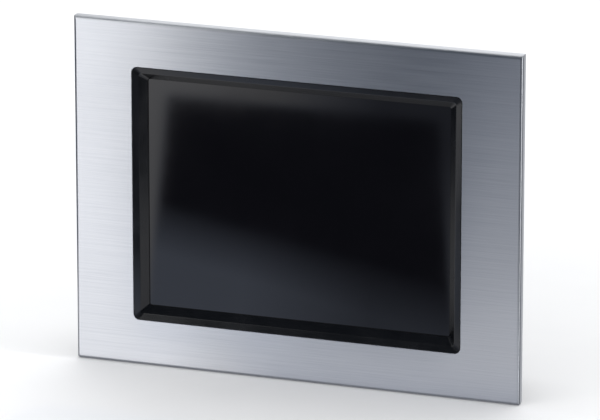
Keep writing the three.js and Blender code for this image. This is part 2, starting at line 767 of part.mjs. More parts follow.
// ---------------------------------------------------------------- clamps
// Built on the wall's outer face: +Z is out of the wall, and the screw runs along Y.
function clampBody() {
  const { front, boss: from, back, half, top } = CLAMP_BASE;
  const base = block(-half, half, front, back, CLAMP_GAP, top);
  const cheek = block(-BOSS_R, BOSS_R, from, back, top - CLAMP_GAP, CLAMP_LIFT);
  const boss = rod(BOSS_R, from, back, 0, CLAMP_LIFT, 24);
  const low = top - CLAMP_GAP;
  const side = outlineOf([[front + 4, low], [from + SUNK, low], [from + SUNK, CLAMP_LIFT]]);
  const ribs = [pushedX(side, -BOSS_R, 3 - BOSS_R), pushedX(side, BOSS_R - 3, BOSS_R)];
  const hooks = LUGS.flatMap((y) => [
    block(-LUG.half, LUG.half, y - LUG.stem, y + LUG.stem, -2.5, SUNK),
    block(-LUG.half, LUG.half, y - LUG.head, y + LUG.head, -LUG.tip, -LUG.over),
  ]);
  const thread = rod(BORE_R, from - 2, back + 2, 0, CLAMP_LIFT, 16);
  return cut(join(base, cheek, boss, ...ribs, ...hooks), thread);
}

// The foot swivels on the screw's tip, so it moves with the screw and doesn't turn.
const clampPad = () =>
  turned([
    [0, 0], [6, 0], [6, 2.5], [5.5, 3], [4, 3], [4, 7], [2.25, 7], [2.25, 3.5], [0, 3.5],
  ]).translate(0, CLAMP_REST, CLAMP_LIFT);

const SHANK = { tip: 13, neck: 17, head: 50, end: 54 };
function clampScrew() {
  const { tip, neck, head, end } = SHANK;
  const body = turned([
    [0, tip], [2, tip], [2, neck], [2.5, neck + 0.5], [2.5, head], [4, head], [4, end], [0, end],
  ]);
  const key = rod(2.25, end - 2.5, end + 1, 0, 0, 6);
  return cut(body, key).translate(0, 0, CLAMP_LIFT);
}

// ---------------------------------------------------------------- assembly
const unit = new THREE.Group();

const front = groupIn(unit);
add(front, "front_panel", frontPanel(), brushedSteel());
add(front, "support_frame", supportFrame(), finish(0xa9abad, 0.5, 1));
add(front, "panel_seal", panelSeal(), rubber());
add(front, "bezel_frame", bezelFrame(), blackPlastic());
add(front, "touch_gasket", touchGasket(), rubber());
add(front, "touch_glass", touchGlass(), screen());

const display = groupIn(unit);
add(display, "display_seal", displaySeal(), rubber());
add(display, "display_frame", displayFrame(), galvanised());
add(display, "display_cell", slab(GLASS.w, GLASS.h - 2, AT.cell, AT.lamp), screen());
add(
  display,
  "backlight_unit",
  slab(MODULE.w - 3, MODULE.h - 3, AT.lamp, AT.bracket),
  whitePlastic(),
);
add(display, "display_bracket_left", displayBracket(-1), galvanised());
add(display, "display_bracket_right", displayBracket(1), galvanised());

const electronics = groupIn(unit);
add(electronics, "carrier_plate", carrierPlate(), galvanised());
add(electronics, "main_board", mainBoard(), laminate());
add(electronics, "heat_sink", heatSink(), finish(0xc0c3c6, 0.4, 1));
add(electronics, "power_board", powerBoard(), laminate());
add(electronics, "backlight_driver", lampBoard(), laminate());
add(electronics, "touch_controller", touchBoard(), laminate());
add(electronics, "display_cable", flatCable(pushedX, DISPLAY_CABLE), foil());
add(electronics, "touch_flex_tail", flatCable(pushedX, TOUCH_TAIL), foil());
add(electronics, "power_cable", flatCable(pushedZ, POWER_CABLE), blackPlastic());

const housing = groupIn(unit);
add(housing, "housing_shell", housingShell(), paintedSteel());
add(housing, "rear_cover", rearCover(), paintedSteel());
COVER_SCREWS.forEach(([x, z], i) => {
  const place = groupIn(housing, x, AT.back, z);
  add(place, `rear_cover_screw_${i + 1}`, coverScrew(), zinc());
});

const onDeck = (x) => groupIn(unit, x, DECK, FLOOR);
add(onDeck(SOCKETS.lanLeft), "network_socket_left", networkSocket(), zinc());
add(onDeck(SOCKETS.lanRight), "network_socket_right", networkSocket(), zinc());
add(onDeck(SOCKETS.usb), "usb_socket_stack", usbSockets(), zinc());
add(onDeck(SOCKETS.video), "video_socket", dSocket(VIDEO, false), zinc());
add(onDeck(SOCKETS.serial), "serial_socket", dSocket(SERIAL, true), zinc());

const inlet = groupIn(unit, INLET.x, 0, FLOOR);
add(inlet, "power_header", powerHeader(), blackPlastic());
add(inlet, "power_plug", powerPlug(), greenPlastic());

const power = groupIn(unit, SWITCH.x, SWITCH.y, FLOOR);
add(power, "switch_body", switchBody(), blackPlastic());
const rocker = add(power, "switch_rocker", switchRocker(), blackPlastic());
rocker.position.z = SWITCH.pivot;
rocker.rotation.y = THREE.MathUtils.degToRad(SWITCH.tilt);

const earth = groupIn(unit, EARTH.x, EARTH.y, FLOOR);
add(earth, "earth_screw", earthScrew(), zinc());

const card = groupIn(unit, 0, CARD.y, CARD.z);
add(card, "card_bay", cardBay(), blackPlastic());
add(card, "memory_card", memoryCard(), blackPlastic());

for (const { side, x, z, turn } of clampPlaces) {
  const clamp = groupIn(unit, x, 0, z, turn);
  add(clamp, `clamp_body_${side}`, clampBody(), zinc());
  add(clamp, `clamp_pad_${side}`, clampPad(), blackPlastic());
  add(clamp, `clamp_screw_${side}`, clampScrew(), zinc());
}

export default unit;
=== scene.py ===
"""Fine shapes and finishes of a built-in touch panel with a brushed steel front.

Metres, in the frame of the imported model: +X is right and +Z is up as the operator sees the
panel, +Y goes into the cabinet, and the middle of the touch glass is the origin.
"""
import json
import math

import bmesh
import bpy
from mathutils import Matrix, Vector


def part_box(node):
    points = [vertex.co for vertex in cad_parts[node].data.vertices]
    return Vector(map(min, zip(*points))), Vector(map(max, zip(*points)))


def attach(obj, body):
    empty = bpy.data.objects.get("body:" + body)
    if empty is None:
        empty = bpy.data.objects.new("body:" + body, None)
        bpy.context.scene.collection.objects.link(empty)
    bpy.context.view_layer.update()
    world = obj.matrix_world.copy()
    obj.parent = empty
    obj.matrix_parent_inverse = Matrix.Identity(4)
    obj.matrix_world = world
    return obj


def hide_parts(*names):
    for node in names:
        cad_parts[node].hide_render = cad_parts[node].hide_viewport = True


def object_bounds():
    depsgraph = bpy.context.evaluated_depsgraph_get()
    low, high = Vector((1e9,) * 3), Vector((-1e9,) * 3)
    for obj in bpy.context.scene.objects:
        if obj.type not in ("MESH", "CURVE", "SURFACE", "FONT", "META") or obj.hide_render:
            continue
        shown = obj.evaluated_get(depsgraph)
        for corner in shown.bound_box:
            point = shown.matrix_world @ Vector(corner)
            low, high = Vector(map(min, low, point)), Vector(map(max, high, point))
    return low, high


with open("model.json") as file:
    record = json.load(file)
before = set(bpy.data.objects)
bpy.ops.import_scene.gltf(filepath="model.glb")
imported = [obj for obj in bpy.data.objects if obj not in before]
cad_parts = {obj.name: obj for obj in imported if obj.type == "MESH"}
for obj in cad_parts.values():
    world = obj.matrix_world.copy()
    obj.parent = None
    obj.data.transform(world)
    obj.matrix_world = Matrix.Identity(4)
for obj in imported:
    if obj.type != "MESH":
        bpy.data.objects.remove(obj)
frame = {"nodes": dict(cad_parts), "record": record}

MM = 0.001
CAD_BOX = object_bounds()
PANEL = "panel"  # the body that everything fixed rides on


# ------------------------------------------------------------------ camera, light and floor
FACE_MIDDLE = Vector((0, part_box("front_panel")[0].y, 0))
CAMERA = {"azimuth": 18.51, "elevation": 17.53, "distance": 4.454, "lens": 343.3}
CAMERA_OFFSET = (0.00365, 0.0001)  # right and up, so that the front sits in the picture as it should


def directions(azimuth, elevation):
    """Right, up and back of a camera that looks from this azimuth and elevation, in degrees."""
    a, e = math.radians(azimuth), math.radians(elevation)
    back = Vector((math.sin(a) * math.cos(e), -math.cos(a) * math.cos(e), math.sin(e)))
    right = Vector((math.cos(a), math.sin(a), 0))
    return right, back.cross(right), back


def make_camera():
    data = bpy.data.cameras.new("camera")
    data.lens = CAMERA["lens"]
    data.clip_end = 20
    camera = bpy.data.objects.new("camera", data)
    right, up, back = directions(CAMERA["azimuth"], CAMERA["elevation"])
    place = Matrix((right, up, back)).transposed().to_4x4()
    aside, above = CAMERA_OFFSET
    place.translation = FACE_MIDDLE + back * CAMERA["distance"] + right * aside + up * above
    camera.matrix_world = place
    bpy.context.scene.collection.objects.link(camera)
    bpy.context.scene.camera = camera


def soft_light(name, place, aim, width, height, power):
    data = bpy.data.lights.new(name, "AREA")
    data.shape = "RECTANGLE"
    data.size, data.size_y = width, height
    data.energy = power
    light = bpy.data.objects.new(name, data)
    light.location = place
    light.rotation_euler = (Vector(aim) - Vector(place)).to_track_quat("-Z", "Y").to_euler()
    light.visible_camera = False
    bpy.context.scene.collection.objects.link(light)


FLOOR = CAD_BOX[0][2] - 0.5 * MM
REFLECTOR = {"left": -0.75, "right": 0.3, "near": -0.01, "far": -1.0}
LIGHTS = (
    # name, place, aim, width, height, power
    ("left_softbox", (-0.83, -0.85, 0.42), (-0.83, 0, 0.42), 0.8, 1.4, 5.5),
    ("top_softbox", (0.1, 0.85, 1.9), (0, 0, 0), 2.2, 2.2, 18),
    ("right_softbox", (1.7, -0.2, 0.2), (0, 0, 0), 0.8, 1.2, 7),
    ("back_softbox", (-0.75, 2.0, 0.95), (0, 0, 0), 2.4, 1.2, 8),
)
SKY = {"Is Camera Ray": (1, 1, 1, 1.1), "Is Diffuse Ray": (0.97, 0.98, 1, 0.82)}  # colour and strength
DARK_ROOM = (0.062, 0.076, 0.1, 1)  # what mirrors see before the panel, over the card
GROUND = (0.25, 0.26, 0.29, 1)  # straight below
BACKDROP = {"low": (0.62, 0.63, 0.66, 1), "high": (0.4, 0.41, 0.44, 1)}  # and behind the panel
FADES = {"backdrop": (-0.35, 0.3), "ground": (-0.45, -0.8), "behind": (0.62, 0.85)}  # over a ray's direction


def make_world():
    """A white studio with even light, and a darker room that only mirrors see."""
    world = bpy.data.worlds.new("studio")
    world.use_nodes = True
    n = Nodes(world.node_tree)
    sky = n.tree.nodes["Background"]
    way = n.add("ShaderNodeSeparateXYZ")
    n.feed(way, Vector=n.add("ShaderNodeTexCoord").outputs["Generated"])
    inward, up = way.outputs["Y"], way.outputs["Z"]
    backdrop = n.mix(n.spread(up, *FADES["backdrop"]), BACKDROP["low"], BACKDROP["high"])
    room = n.mix(n.spread(up, *FADES["ground"]), DARK_ROOM, GROUND)
    n.feed(sky, Color=n.mix(n.spread(inward, *FADES["behind"]), room, backdrop), Strength=1.0)
    rays = n.add("ShaderNodeLightPath").outputs
    shown = sky.outputs["Background"]
    for ray, (*color, strength) in SKY.items():
        bright = n.add("ShaderNodeBackground")
        n.feed(bright, Color=(*color, 1), Strength=strength)
        shown = n.blend(rays[ray], shown, bright.outputs["Background"])
    n.feed(n.tree.nodes["World Output"], Surface=shown)
    bpy.context.scene.world = world
    bpy.context.scene.view_settings.view_transform = "Standard"


def sheet_on_floor(wide, deep, x, y, lift=0):
    bm = bmesh.new()
    bmesh.ops.create_grid(bm, x_segments=1, y_segments=1, size=0.5)
    bmesh.ops.scale(bm, vec=(wide, deep, 1), verts=bm.verts)
    bmesh.ops.translate(bm, vec=(x, y, FLOOR + lift), verts=bm.verts)
    return bm


def make_floor():
    """A wide floor, and a lit card lying before the panel that only shows where it is mirrored."""
    floor = finished(sheet_on_floor(12, 12, 0, 0), "floor", [plain_floor()])
    floor.visible_glossy = False
    wide, deep = REFLECTOR["right"] - REFLECTOR["left"], REFLECTOR["near"] - REFLECTOR["far"]
    x, y = (REFLECTOR["left"] + REFLECTOR["right"]) / 2, (REFLECTOR["near"] + REFLECTOR["far"]) / 2
    card = finished(sheet_on_floor(wide, deep, x, y, 0.2 * MM), "reflector_card", [reflector_card()])
    card.visible_camera = card.visible_diffuse = card.visible_shadow = False


# ------------------------------------------------------------------ shaping
SAME_POINT = 0.001 * MM  # points closer than this are merged


def finished(bm, name, materials, sharp=30, merge=True):
    """Turns the bmesh into an object at the origin, smooth but for edges sharper than sharp."""
    if merge:
        bmesh.ops.remove_doubles(bm, verts=bm.verts, dist=SAME_POINT)
    mesh = bpy.data.meshes.new(name)
    bm.to_mesh(mesh)
    bm.free()
    for material in materials:
        mesh.materials.append(material)
    mesh.shade_smooth()
    mesh.set_sharp_from_angle(angle=math.radians(sharp))
    piece = bpy.data.objects.new(name, mesh)
    bpy.context.scene.collection.objects.link(piece)
    return piece


def even_normals(piece):
    """Flat faces stay flat next to their rounded edges."""
    modifier = piece.modifiers.new("even_normals", "WEIGHTED_NORMAL")
    modifier.keep_sharp = True


def rounded_loop(bm, width, height, radius, depth, segments):
    """The edges of a rounded rectangle that lies across Y at this depth. Sizes in millimetres."""
    corners = bmesh.ops.create_grid(bm, x_segments=1, y_segments=1, size=0.5)["verts"]
    bmesh.ops.scale(bm, vec=(width * MM, height * MM, 1), verts=corners)
    bmesh.ops.rotate(bm, matrix=Matrix.Rotation(math.pi / 2, 3, "X"), verts=corners)
    bmesh.ops.translate(bm, vec=(0, depth * MM, 0), verts=corners)
    round_off = bmesh.ops.bevel(
        bm, geom=corners, offset=radius * MM, offset_type="OFFSET", segments=segments,
        profile=0.5, affect="VERTICES", material=-1,
    )
    face = next(f for v in round_off["verts"] for f in v.link_faces)
    edges = list(face.edges)
    bmesh.ops.delete(bm, geom=[face], context="FACES_ONLY")
    return edges


def refit(verts, before, after):
    """Moves a rounded rectangle's points from one (width, height, radius, depth) to another."""
    for vert in verts:
        sides = math.copysign(1, vert.co.x), math.copysign(1, vert.co.z)
        place = []
        for axis, side in zip((0, 1), sides):
            here = vert.co.xz[axis] / MM
            turn = (here - side * (before[axis] / 2 - before[2])) / before[2]
            place.append(side * (after[axis] / 2 - after[2]) + turn * after[2])
        vert.co = Vector((place[0], after[3], place[1])) * MM


def loft(stations, closed=True, segments=6):
    """A skin through rounded rectangles (width, height, radius, depth), in order.
    A closed skin goes back to its first station, and an open one is capped at both ends."""
    bm = bmesh.new()
    edges = rounded_loop(bm, *stations[0], segments)
    if not closed:
        bmesh.ops.contextual_create(bm, geom=edges)
    targets = stations[1:] + stations[:1] if closed else stations[1:]
    for before, after in zip(stations, targets):
        made = bmesh.ops.extrude_edge_only(bm, edges=edges)["geom"]
        verts = {g for g in made if isinstance(g, bmesh.types.BMVert)}
        edges = [g for g in made if isinstance(g, bmesh.types.BMEdge) and verts.issuperset(g.verts)]
        refit(verts, before, after)
    if not closed:
        bmesh.ops.contextual_create(bm, geom=edges)
    bmesh.ops.remove_doubles(bm, verts=bm.verts, dist=SAME_POINT)
    bmesh.ops.recalc_face_normals(bm, faces=bm.faces)
    return bm


def grown(size, by, radius, depth):
    """A station round a rectangle of this size that is wider and taller by so many millimetres."""
    return size[0] + by, size[1] + by, radius, depth


def quarter(steps):
    """Sine and one minus cosine along a quarter turn, both from 0 to 1."""
    for i in range(steps + 1):
        angle = math.pi / 2 * i / steps
        yield math.sin(angle), 1 - math.cos(angle)


def depths_of(node):
    """How deep a CAD node starts and ends, in millimetres."""
    return [corner.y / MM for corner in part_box(node)]


def corners_of(node):
    """The low and the high corner of a CAD node, in millimetres."""
    return [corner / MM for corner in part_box(node)]


def size_of(node):
    """Width, depth and height of a CAD node in millimetres."""
    low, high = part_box(node)
    return (high - low) / MM


def middle_of(node):
    low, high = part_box(node)
    return (low + high) / 2 / MM


# The shells below are drawn in millimetres and come out in metres.
WORN = "worn"  # face attribute: 1 on rounded edges, where plating and paint rub through
SHARP = math.radians(50)  # edges that turn more than this are rounded
ALONG, UP = "Y", "Z"
TO_AXIS = {ALONG: Matrix(), UP: Matrix.Rotation(math.pi / 2, 4, "X")}


def soften(bm, size, segments=2):
    """Rounds every sharp edge, and marks the new faces as worn."""
    if not size:
        return bm
    edges = [e for e in bm.edges if len(e.link_faces) == 2 and e.calc_face_angle(0) > SHARP]
    worn = bm.faces.layers.float.get(WORN) or bm.faces.layers.float.new(WORN)
    rounded_off = bmesh.ops.bevel(
        bm, geom=edges, offset=size * MM, offset_type="OFFSET", segments=segments,
        profile=0.5, affect="EDGES", clamp_overlap=True, material=-1,
    )
    for face in rounded_off["faces"]:
        face[worn] = 1
    return bm


def brick(low, high, soft=0.3, segments=2):
    """A block between two corners, with rounded edges."""
    bm = bmesh.new()
    low, high = Vector(low) * MM, Vector(high) * MM
    bmesh.ops.create_cube(bm, size=1)
    bmesh.ops.scale(bm, vec=high - low, verts=bm.verts)
    bmesh.ops.translate(bm, vec=(low + high) / 2, verts=bm.verts)
    return soften(bm, soft, segments=segments)


def turned(profile, steps=24, axis=ALONG, spot=(0, 0, 0)):
    """A round shape from points (radius, place along the axis)."""
    bm = bmesh.new()
    verts = [bm.verts.new((r * MM, y * MM, 0)) for r, y in profile]
    edges = [bm.edges.new(pair) for pair in zip(verts, verts[1:])]
    bmesh.ops.spin(bm, geom=verts + edges, axis=(0, 1, 0), cent=(0, 0, 0),
                   angle=2 * math.pi, steps=steps, use_merge=True)
    bmesh.ops.transform(bm, matrix=at(*spot) @ TO_AXIS[axis], verts=bm.verts)
    return bm


def threaded(radius, pitch, start, end):
    """A screw thread along Y: one tooth carried round and on by its pitch, closed at both ends."""
    bm = bmesh.new()
    root, steps = radius - 0.61 * pitch, 12
    tooth = [(root, 0), (root, 0.12), (radius, 0.44), (radius, 0.56), (root, 0.88), (root, 1)]
    verts = [bm.verts.new((r * MM, (start + share * pitch) * MM, 0)) for r, share in tooth]
    edges = [bm.edges.new(pair) for pair in zip(verts, verts[1:])]
    count = round((end - start) / pitch - 1) * steps
    swept = bmesh.ops.spin(bm, geom=verts + edges, axis=(0, 1, 0), cent=(0, 0, 0), steps=count,
                           angle=2 * math.pi * count / steps, dvec=(0, pitch * MM / steps, 0))
    bm.faces.new(verts)
    bm.faces.new([g for g in swept["geom_last"] if isinstance(g, bmesh.types.BMVert)])
    return bm


def arc(x, y, radius, start, end, steps):
    """Points along an arc, its angles in degrees."""
    for i in range(steps + 1):
        angle = math.radians(start + (end - start) * i / steps)
        yield x + radius * math.cos(angle), y + radius * math.sin(angle)


def round_rect(wide, tall, radius, x=0, y=0):
    right, top = wide / 2 - radius, tall / 2 - radius
    corners = ((right, -top, -90), (right, top, 0), (-right, top, 90), (-right, -top, 180))
    return [point for u, v, turn in corners
            for point in arc(x + u, y + v, radius, turn, turn + 90, 4)]


def disc(radius, x=0, y=0, steps=24):
    return [*arc(x, y, radius, 0, 360, steps)][:-1]


def rect(x0, x1, y0, y1):
    return [(x0, y0), (x1, y0), (x1, y1), (x0, y1)]


def punched(outline, holes=(), thick=1.0, soft=0.0):
    """A flat sheet with holes, drawn in (x, y): its face lies at z = 0 and its back behind that."""
    bm = bmesh.new()
    edges = []
    for loop in (outline, *holes):
        verts = [bm.verts.new((x * MM, y * MM, 0)) for x, y in loop]
        edges += [bm.edges.new(pair) for pair in zip(verts, verts[1:] + verts[:1])]
    bmesh.ops.triangle_fill(bm, use_beauty=True, edges=edges, normal=(0, 0, 1))
    bmesh.ops.remove_doubles(bm, verts=bm.verts, dist=1e-7)
    drawn = list(bm.faces)
    rims = [e for e in bm.edges if len(e.link_faces) == 1]
    copy = bmesh.ops.duplicate(bm, geom=list(bm.verts) + list(bm.edges) + drawn)
    twins = copy["vert_map"]
    bmesh.ops.translate(bm, vec=(0, 0, -thick * MM),
                        verts=[g for g in copy["geom"] if isinstance(g, bmesh.types.BMVert)])
    for edge in rims:
        one, other = edge.verts
        bm.faces.new((one, other, twins[other], twins[one]))
    bmesh.ops.recalc_face_normals(bm, faces=bm.faces)
    return soften(bm, soft, segments=1)


WALLS = {  # how a sheet drawn in (x, y) is turned to face out of each side
    "top": Matrix(),
    "bottom": Matrix.Scale(-1, 4, (0, 0, 1)),
    "right": Matrix(((0, 0, 1, 0), (0, 1, 0, 0), (1, 0, 0, 0), (0, 0, 0, 1))),
    "left": Matrix(((0, 0, -1, 0), (0, 1, 0, 0), (1, 0, 0, 0), (0, 0, 0, 1))),
    "back": Matrix(((1, 0, 0, 0), (0, 0, 1, 0), (0, 1, 0, 0), (0, 0, 0, 1))),
}


def at(x=0, y=0, z=0):
    return Matrix.Translation(Vector((x, y, z)) * MM)


class Shape:
    """Gathers the shells of one piece, each painted with one of its finishes."""

    def __init__(self):
        self.bm = bmesh.new()
        self.worn = self.bm.faces.layers.float.new(WORN)

    def take(self, shell, paint=0, place=Matrix()):
        bmesh.ops.remove_doubles(shell, verts=shell.verts, dist=SAME_POINT)
        bmesh.ops.transform(shell, matrix=place, verts=shell.verts)
        bmesh.ops.recalc_face_normals(shell, faces=shell.faces)
        if not shell.faces.layers.float.get(WORN):
            shell.faces.layers.float.new(WORN)
        for face in shell.faces:
            face.material_index = paint
        mesh = bpy.data.meshes.new("shell")
        shell.to_mesh(mesh)
        shell.free()
        self.bm.from_mesh(mesh)
        bpy.data.meshes.remove(mesh)

    def make(self, name, finishes, node, place=Matrix(), sharp=35, body=PANEL):
        """The finished piece, which stands for a CAD node and rides on its body."""
        bmesh.ops.transform(self.bm, matrix=place, verts=self.bm.verts)
        if place.determinant() < 0:
            bmesh.ops.reverse_faces(self.bm, faces=self.bm.faces)
        materials = [FINISHES[finish] for finish in finishes]
        stand_for(finished(self.bm, name, materials, sharp, merge=False), node, body)


def stand_for(piece, node, body=PANEL):
    """The piece takes a CAD node's place and rides on its body."""
    even_normals(piece)
    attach(piece, body)
    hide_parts(node)


# ------------------------------------------------------------------ shader node helpers
class Nodes:
    """Short calls for building one node tree."""

    def __init__(self, tree):
        self.tree = tree

    def add(self, kind, **settings):
        node = self.tree.nodes.new(kind)
        for key, value in settings.items():
            setattr(node, key, value)
        return node

    def plug(self, socket, value):
        """Links the socket to another node's output, or sets a plain value on it."""
        if isinstance(value, bpy.types.NodeSocket):
            self.tree.links.new(value, socket)
        else:
            socket.default_value = value

    def feed(self, node, **inputs):
        for key, value in inputs.items():
            self.plug(node.inputs[key.replace("_", " ")], value)

    def math(self, operation, one, other=0.0):
        node = self.add("ShaderNodeMath", operation=operation)
        self.plug(node.inputs[0], one)
        self.plug(node.inputs[1], other)
        return node.outputs[0]

    def times(self, one, other):
        return self.math("MULTIPLY", one, other)

    def plus(self, one, other):
        return self.math("ADD", one, other)

    def mix(self, share, one, other):
        """Between two colours."""
        node = self.add("ShaderNodeMix", data_type="RGBA")
        for name, value in (("Factor", share), ("A", one), ("B", other)):
            self.plug(next(s for s in node.inputs if s.name == name and s.enabled), value)
        return next(s for s in node.outputs if s.enabled)

    def blend(self, share, one, other):
        """Between two shaders."""
        node = self.add("ShaderNodeMixShader")
        for socket, value in zip(node.inputs, (share, one, other)):
            self.plug(socket, value)
        return node.outputs["Shader"]

    def spread(self, value, low, high, to_low=0.0, to_high=1.0):
        """Carries one span of values over to another, and stops at its ends."""
        node = self.add("ShaderNodeMapRange")
        names = ("Value", "From Min", "From Max", "To Min", "To Max")
        for name, number in zip(names, (value, low, high, to_low, to_high)):
            self.plug(node.inputs[name], number)
        return node.outputs["Result"]

    def noise(self, vector, scale, detail=3.0, rough=0.5):
        node = self.add("ShaderNodeTexNoise")
        self.feed(node, Vector=vector, Scale=scale, Detail=detail, Roughness=rough)
        return node.outputs["Fac"]


def group(name, inputs, outputs):
    """A node group with named sockets. inputs maps a name to its starting value."""
    tree = bpy.data.node_groups.new(name, "ShaderNodeTree")
    for label, value in inputs.items():
        kind = {3: "NodeSocketVector", 4: "NodeSocketColor"}.get(
            len(value) if hasattr(value, "__len__") else 1, "NodeSocketFloat"
        )
        socket = tree.interface.new_socket(label, in_out="INPUT", socket_type=kind)
        socket.default_value = value
    for label, kind in outputs.items():
        tree.interface.new_socket(label, in_out="OUTPUT", socket_type=kind)
    nodes = Nodes(tree)
    return tree, nodes, nodes.add("NodeGroupInput").outputs, nodes.add("NodeGroupOutput").inputs


def brushed_group():
    """Long fine scratches along the first axis of the vector, with patches of harder brushing."""
    tree, n, given, out = group(
        "brushed_grain",
        {"Vector": (0.0, 0.0, 0.0), "Streak Length": 40.0, "Streak Width": 0.3},
        {"Streak": "NodeSocketFloat", "Patch": "NodeSocketFloat", "Height": "NodeSocketFloat"},
    )
    length = n.math("DIVIDE", 1 / MM, given["Streak Length"])
    width = n.math("DIVIDE", 1 / MM, given["Streak Width"])
    scale = n.add("ShaderNodeCombineXYZ")
    n.feed(scale, X=length, Y=width, Z=width)
    along = n.add("ShaderNodeVectorMath", operation="MULTIPLY")
    n.plug(along.inputs[0], given["Vector"])
    n.plug(along.inputs[1], scale.outputs[0])
    fine = n.noise(along.outputs[0], 1.0, 2.0, 0.6)
    broad = n.noise(along.outputs[0], 0.23, 3.0, 0.6)
    patch = n.noise(given["Vector"], 9.0, 2.0, 0.5)
    n.plug(out["Streak"], n.plus(n.times(fine, 0.6), n.times(broad, 0.4)))
    n.plug(out["Patch"], patch)
    n.plug(out["Height"], fine)
    return tree


def grain_group():
    """Fine moulded, cast or sprayed texture and slow patches of handling marks and dust."""
    tree, n, given, out = group(
        "surface_grain",
        {"Vector": (0.0, 0.0, 0.0), "Grain Size": 0.4, "Patch Size": 30.0},
        {"Grain": "NodeSocketFloat", "Patch": "NodeSocketFloat", "Speck": "NodeSocketFloat"},
    )
    fine = n.math("DIVIDE", 1 / MM, given["Grain Size"])
    slow = n.math("DIVIDE", 1 / MM, given["Patch Size"])
    specks = n.noise(given["Vector"], n.times(fine, 0.35), 1.0)
    n.plug(out["Grain"], n.noise(given["Vector"], fine, 2.0))
    n.plug(out["Patch"], n.noise(given["Vector"], slow, 4.0, 0.6))
    n.plug(out["Speck"], n.spread(specks, 0.68, 0.74))
    return tree


BRUSHED = brushed_group()
GRAIN = grain_group()


def material(name):
    """A new material, its node calls, its Principled shader and its object coordinates."""
    made = bpy.data.materials.new(name)
    made.use_nodes = True
    nodes = Nodes(made.node_tree)
    shader = made.node_tree.nodes["Principled BSDF"]
    place = nodes.add("ShaderNodeTexCoord").outputs["Object"]
    return made, nodes, shader, place


def use(nodes, tree, **inputs):
    node = nodes.add("ShaderNodeGroup", node_tree=tree)
    nodes.feed(node, **inputs)
    return node.outputs


def bump(nodes, shader, height, strength, distance):
    node = nodes.add("ShaderNodeBump")
    nodes.feed(node, Height=height, Strength=strength, Distance=distance * MM)
    nodes.feed(shader, Normal=node.outputs["Normal"])


PATCH = 30.0  # millimetres across a patch of handling marks
WEAR = 0.3  # how far rounded edges are rubbed bare
DUST = (0.6, 0.58, 0.55, 1)


def grained(name, color, light, rough, metal=0.0, size=0.4, depth=0.02, dust=0.04):
    """A fine-textured finish: colour patches from color to light, roughness patches, specks of dust,
    and rounded edges rubbed brighter and smoother."""
    made, n, shader, place = material(name)
    grain = use(n, GRAIN, Vector=place, Grain_Size=size, Patch_Size=PATCH)
    toned = n.mix(n.spread(grain["Patch"], 0.35, 0.7), (*color, 1), (*light, 1))
    edge = n.add("ShaderNodeAttribute", attribute_name=WORN).outputs["Fac"]
    rubbed = n.times(n.times(edge, WEAR), n.spread(grain["Grain"], 0.35, 0.6, 0.3, 1))
    bare = [min(0.8, 1.6 * part + 0.04) for part in light]
    toned = n.mix(rubbed, toned, (*bare, 1))
    n.feed(shader, Base_Color=n.mix(n.times(grain["Speck"], dust), toned, DUST), Metallic=metal)
    patchy = n.spread(grain["Patch"], 0.3, 0.7, rough - 0.05, rough + 0.07)
    n.feed(shader, Roughness=n.plus(patchy, n.times(rubbed, -0.15)))
    bump(n, shader, grain["Grain"], 0.5, depth)
    return made


# ------------------------------------------------------------------ finishes
GRAIN_MAP = "sheet"  # UV map laid on the flat sheet before it is folded, in metres


def brushed_steel():
    made, n, shader, _ = material("brushed_steel")
    sheet = n.add("ShaderNodeUVMap", uv_map=GRAIN_MAP).outputs["UV"]
    grain = use(n, BRUSHED, Vector=sheet, Streak_Length=45.0, Streak_Width=0.35)
    tone = n.spread(grain["Streak"], 0.35, 0.65)
    n.feed(shader, Base_Color=n.mix(tone, (0.56, 0.575, 0.6, 1), (0.7, 0.71, 0.73, 1)), Metallic=1.0)
    streaky = n.spread(grain["Streak"], 0.35, 0.65, 0.3, 0.4)
    rough = n.plus(streaky, n.spread(grain["Patch"], 0.3, 0.7, -0.02, 0.02))
    n.feed(shader, Roughness=rough, Anisotropic=0.85, Anisotropic_Rotation=0.25)
    tangent = n.add("ShaderNodeTangent", direction_type="UV_MAP", uv_map=GRAIN_MAP)
    n.feed(shader, Tangent=tangent.outputs["Tangent"])
    bump(n, shader, grain["Height"], 0.25, 0.02)
    return made


def frame_plastic():
    made = grained("frame_plastic", (0.0022, 0.0025, 0.0035), (0.004, 0.0045, 0.0062), 0.22,
                   size=0.25, depth=0.01, dust=0.015)
    made.node_tree.nodes["Principled BSDF"].inputs["Specular IOR Level"].default_value = 0.42
    return made


def dark_glass():
    made, n, shader, place = material("dark_glass")
    grain = use(n, GRAIN, Vector=place, Grain_Size=0.15, Patch_Size=60.0)
    n.feed(shader, Base_Color=n.mix(n.spread(grain["Patch"], 0.3, 0.7), (0.0018, 0.0016, 0.0026, 1),
                                    (0.0026, 0.0023, 0.0036, 1)))
    n.feed(shader, Roughness=n.spread(grain["Patch"], 0.3, 0.7, 0.05, 0.08))
    bump(n, shader, grain["Grain"], 0.1, 0.002)
    return made


def plain_floor():
    """Pale from above and clear from below, so that the panel's underside can be seen."""
    made, n, shader, place = material("plain_floor")
    grain = use(n, GRAIN, Vector=place, Grain_Size=3.0, Patch_Size=400.0)
    tone = n.spread(grain["Patch"], 0.3, 0.7)
    n.feed(shader, Base_Color=n.mix(tone, (0.86, 0.86, 0.86, 1), (0.9, 0.9, 0.9, 1)), Roughness=0.7)
    from_below = n.add("ShaderNodeNewGeometry").outputs["Backfacing"]
    clear = n.add("ShaderNodeBsdfTransparent").outputs["BSDF"]
    shown = n.blend(from_below, shader.outputs["BSDF"], clear)
    n.feed(n.tree.nodes["Material Output"], Surface=shown)
    return made


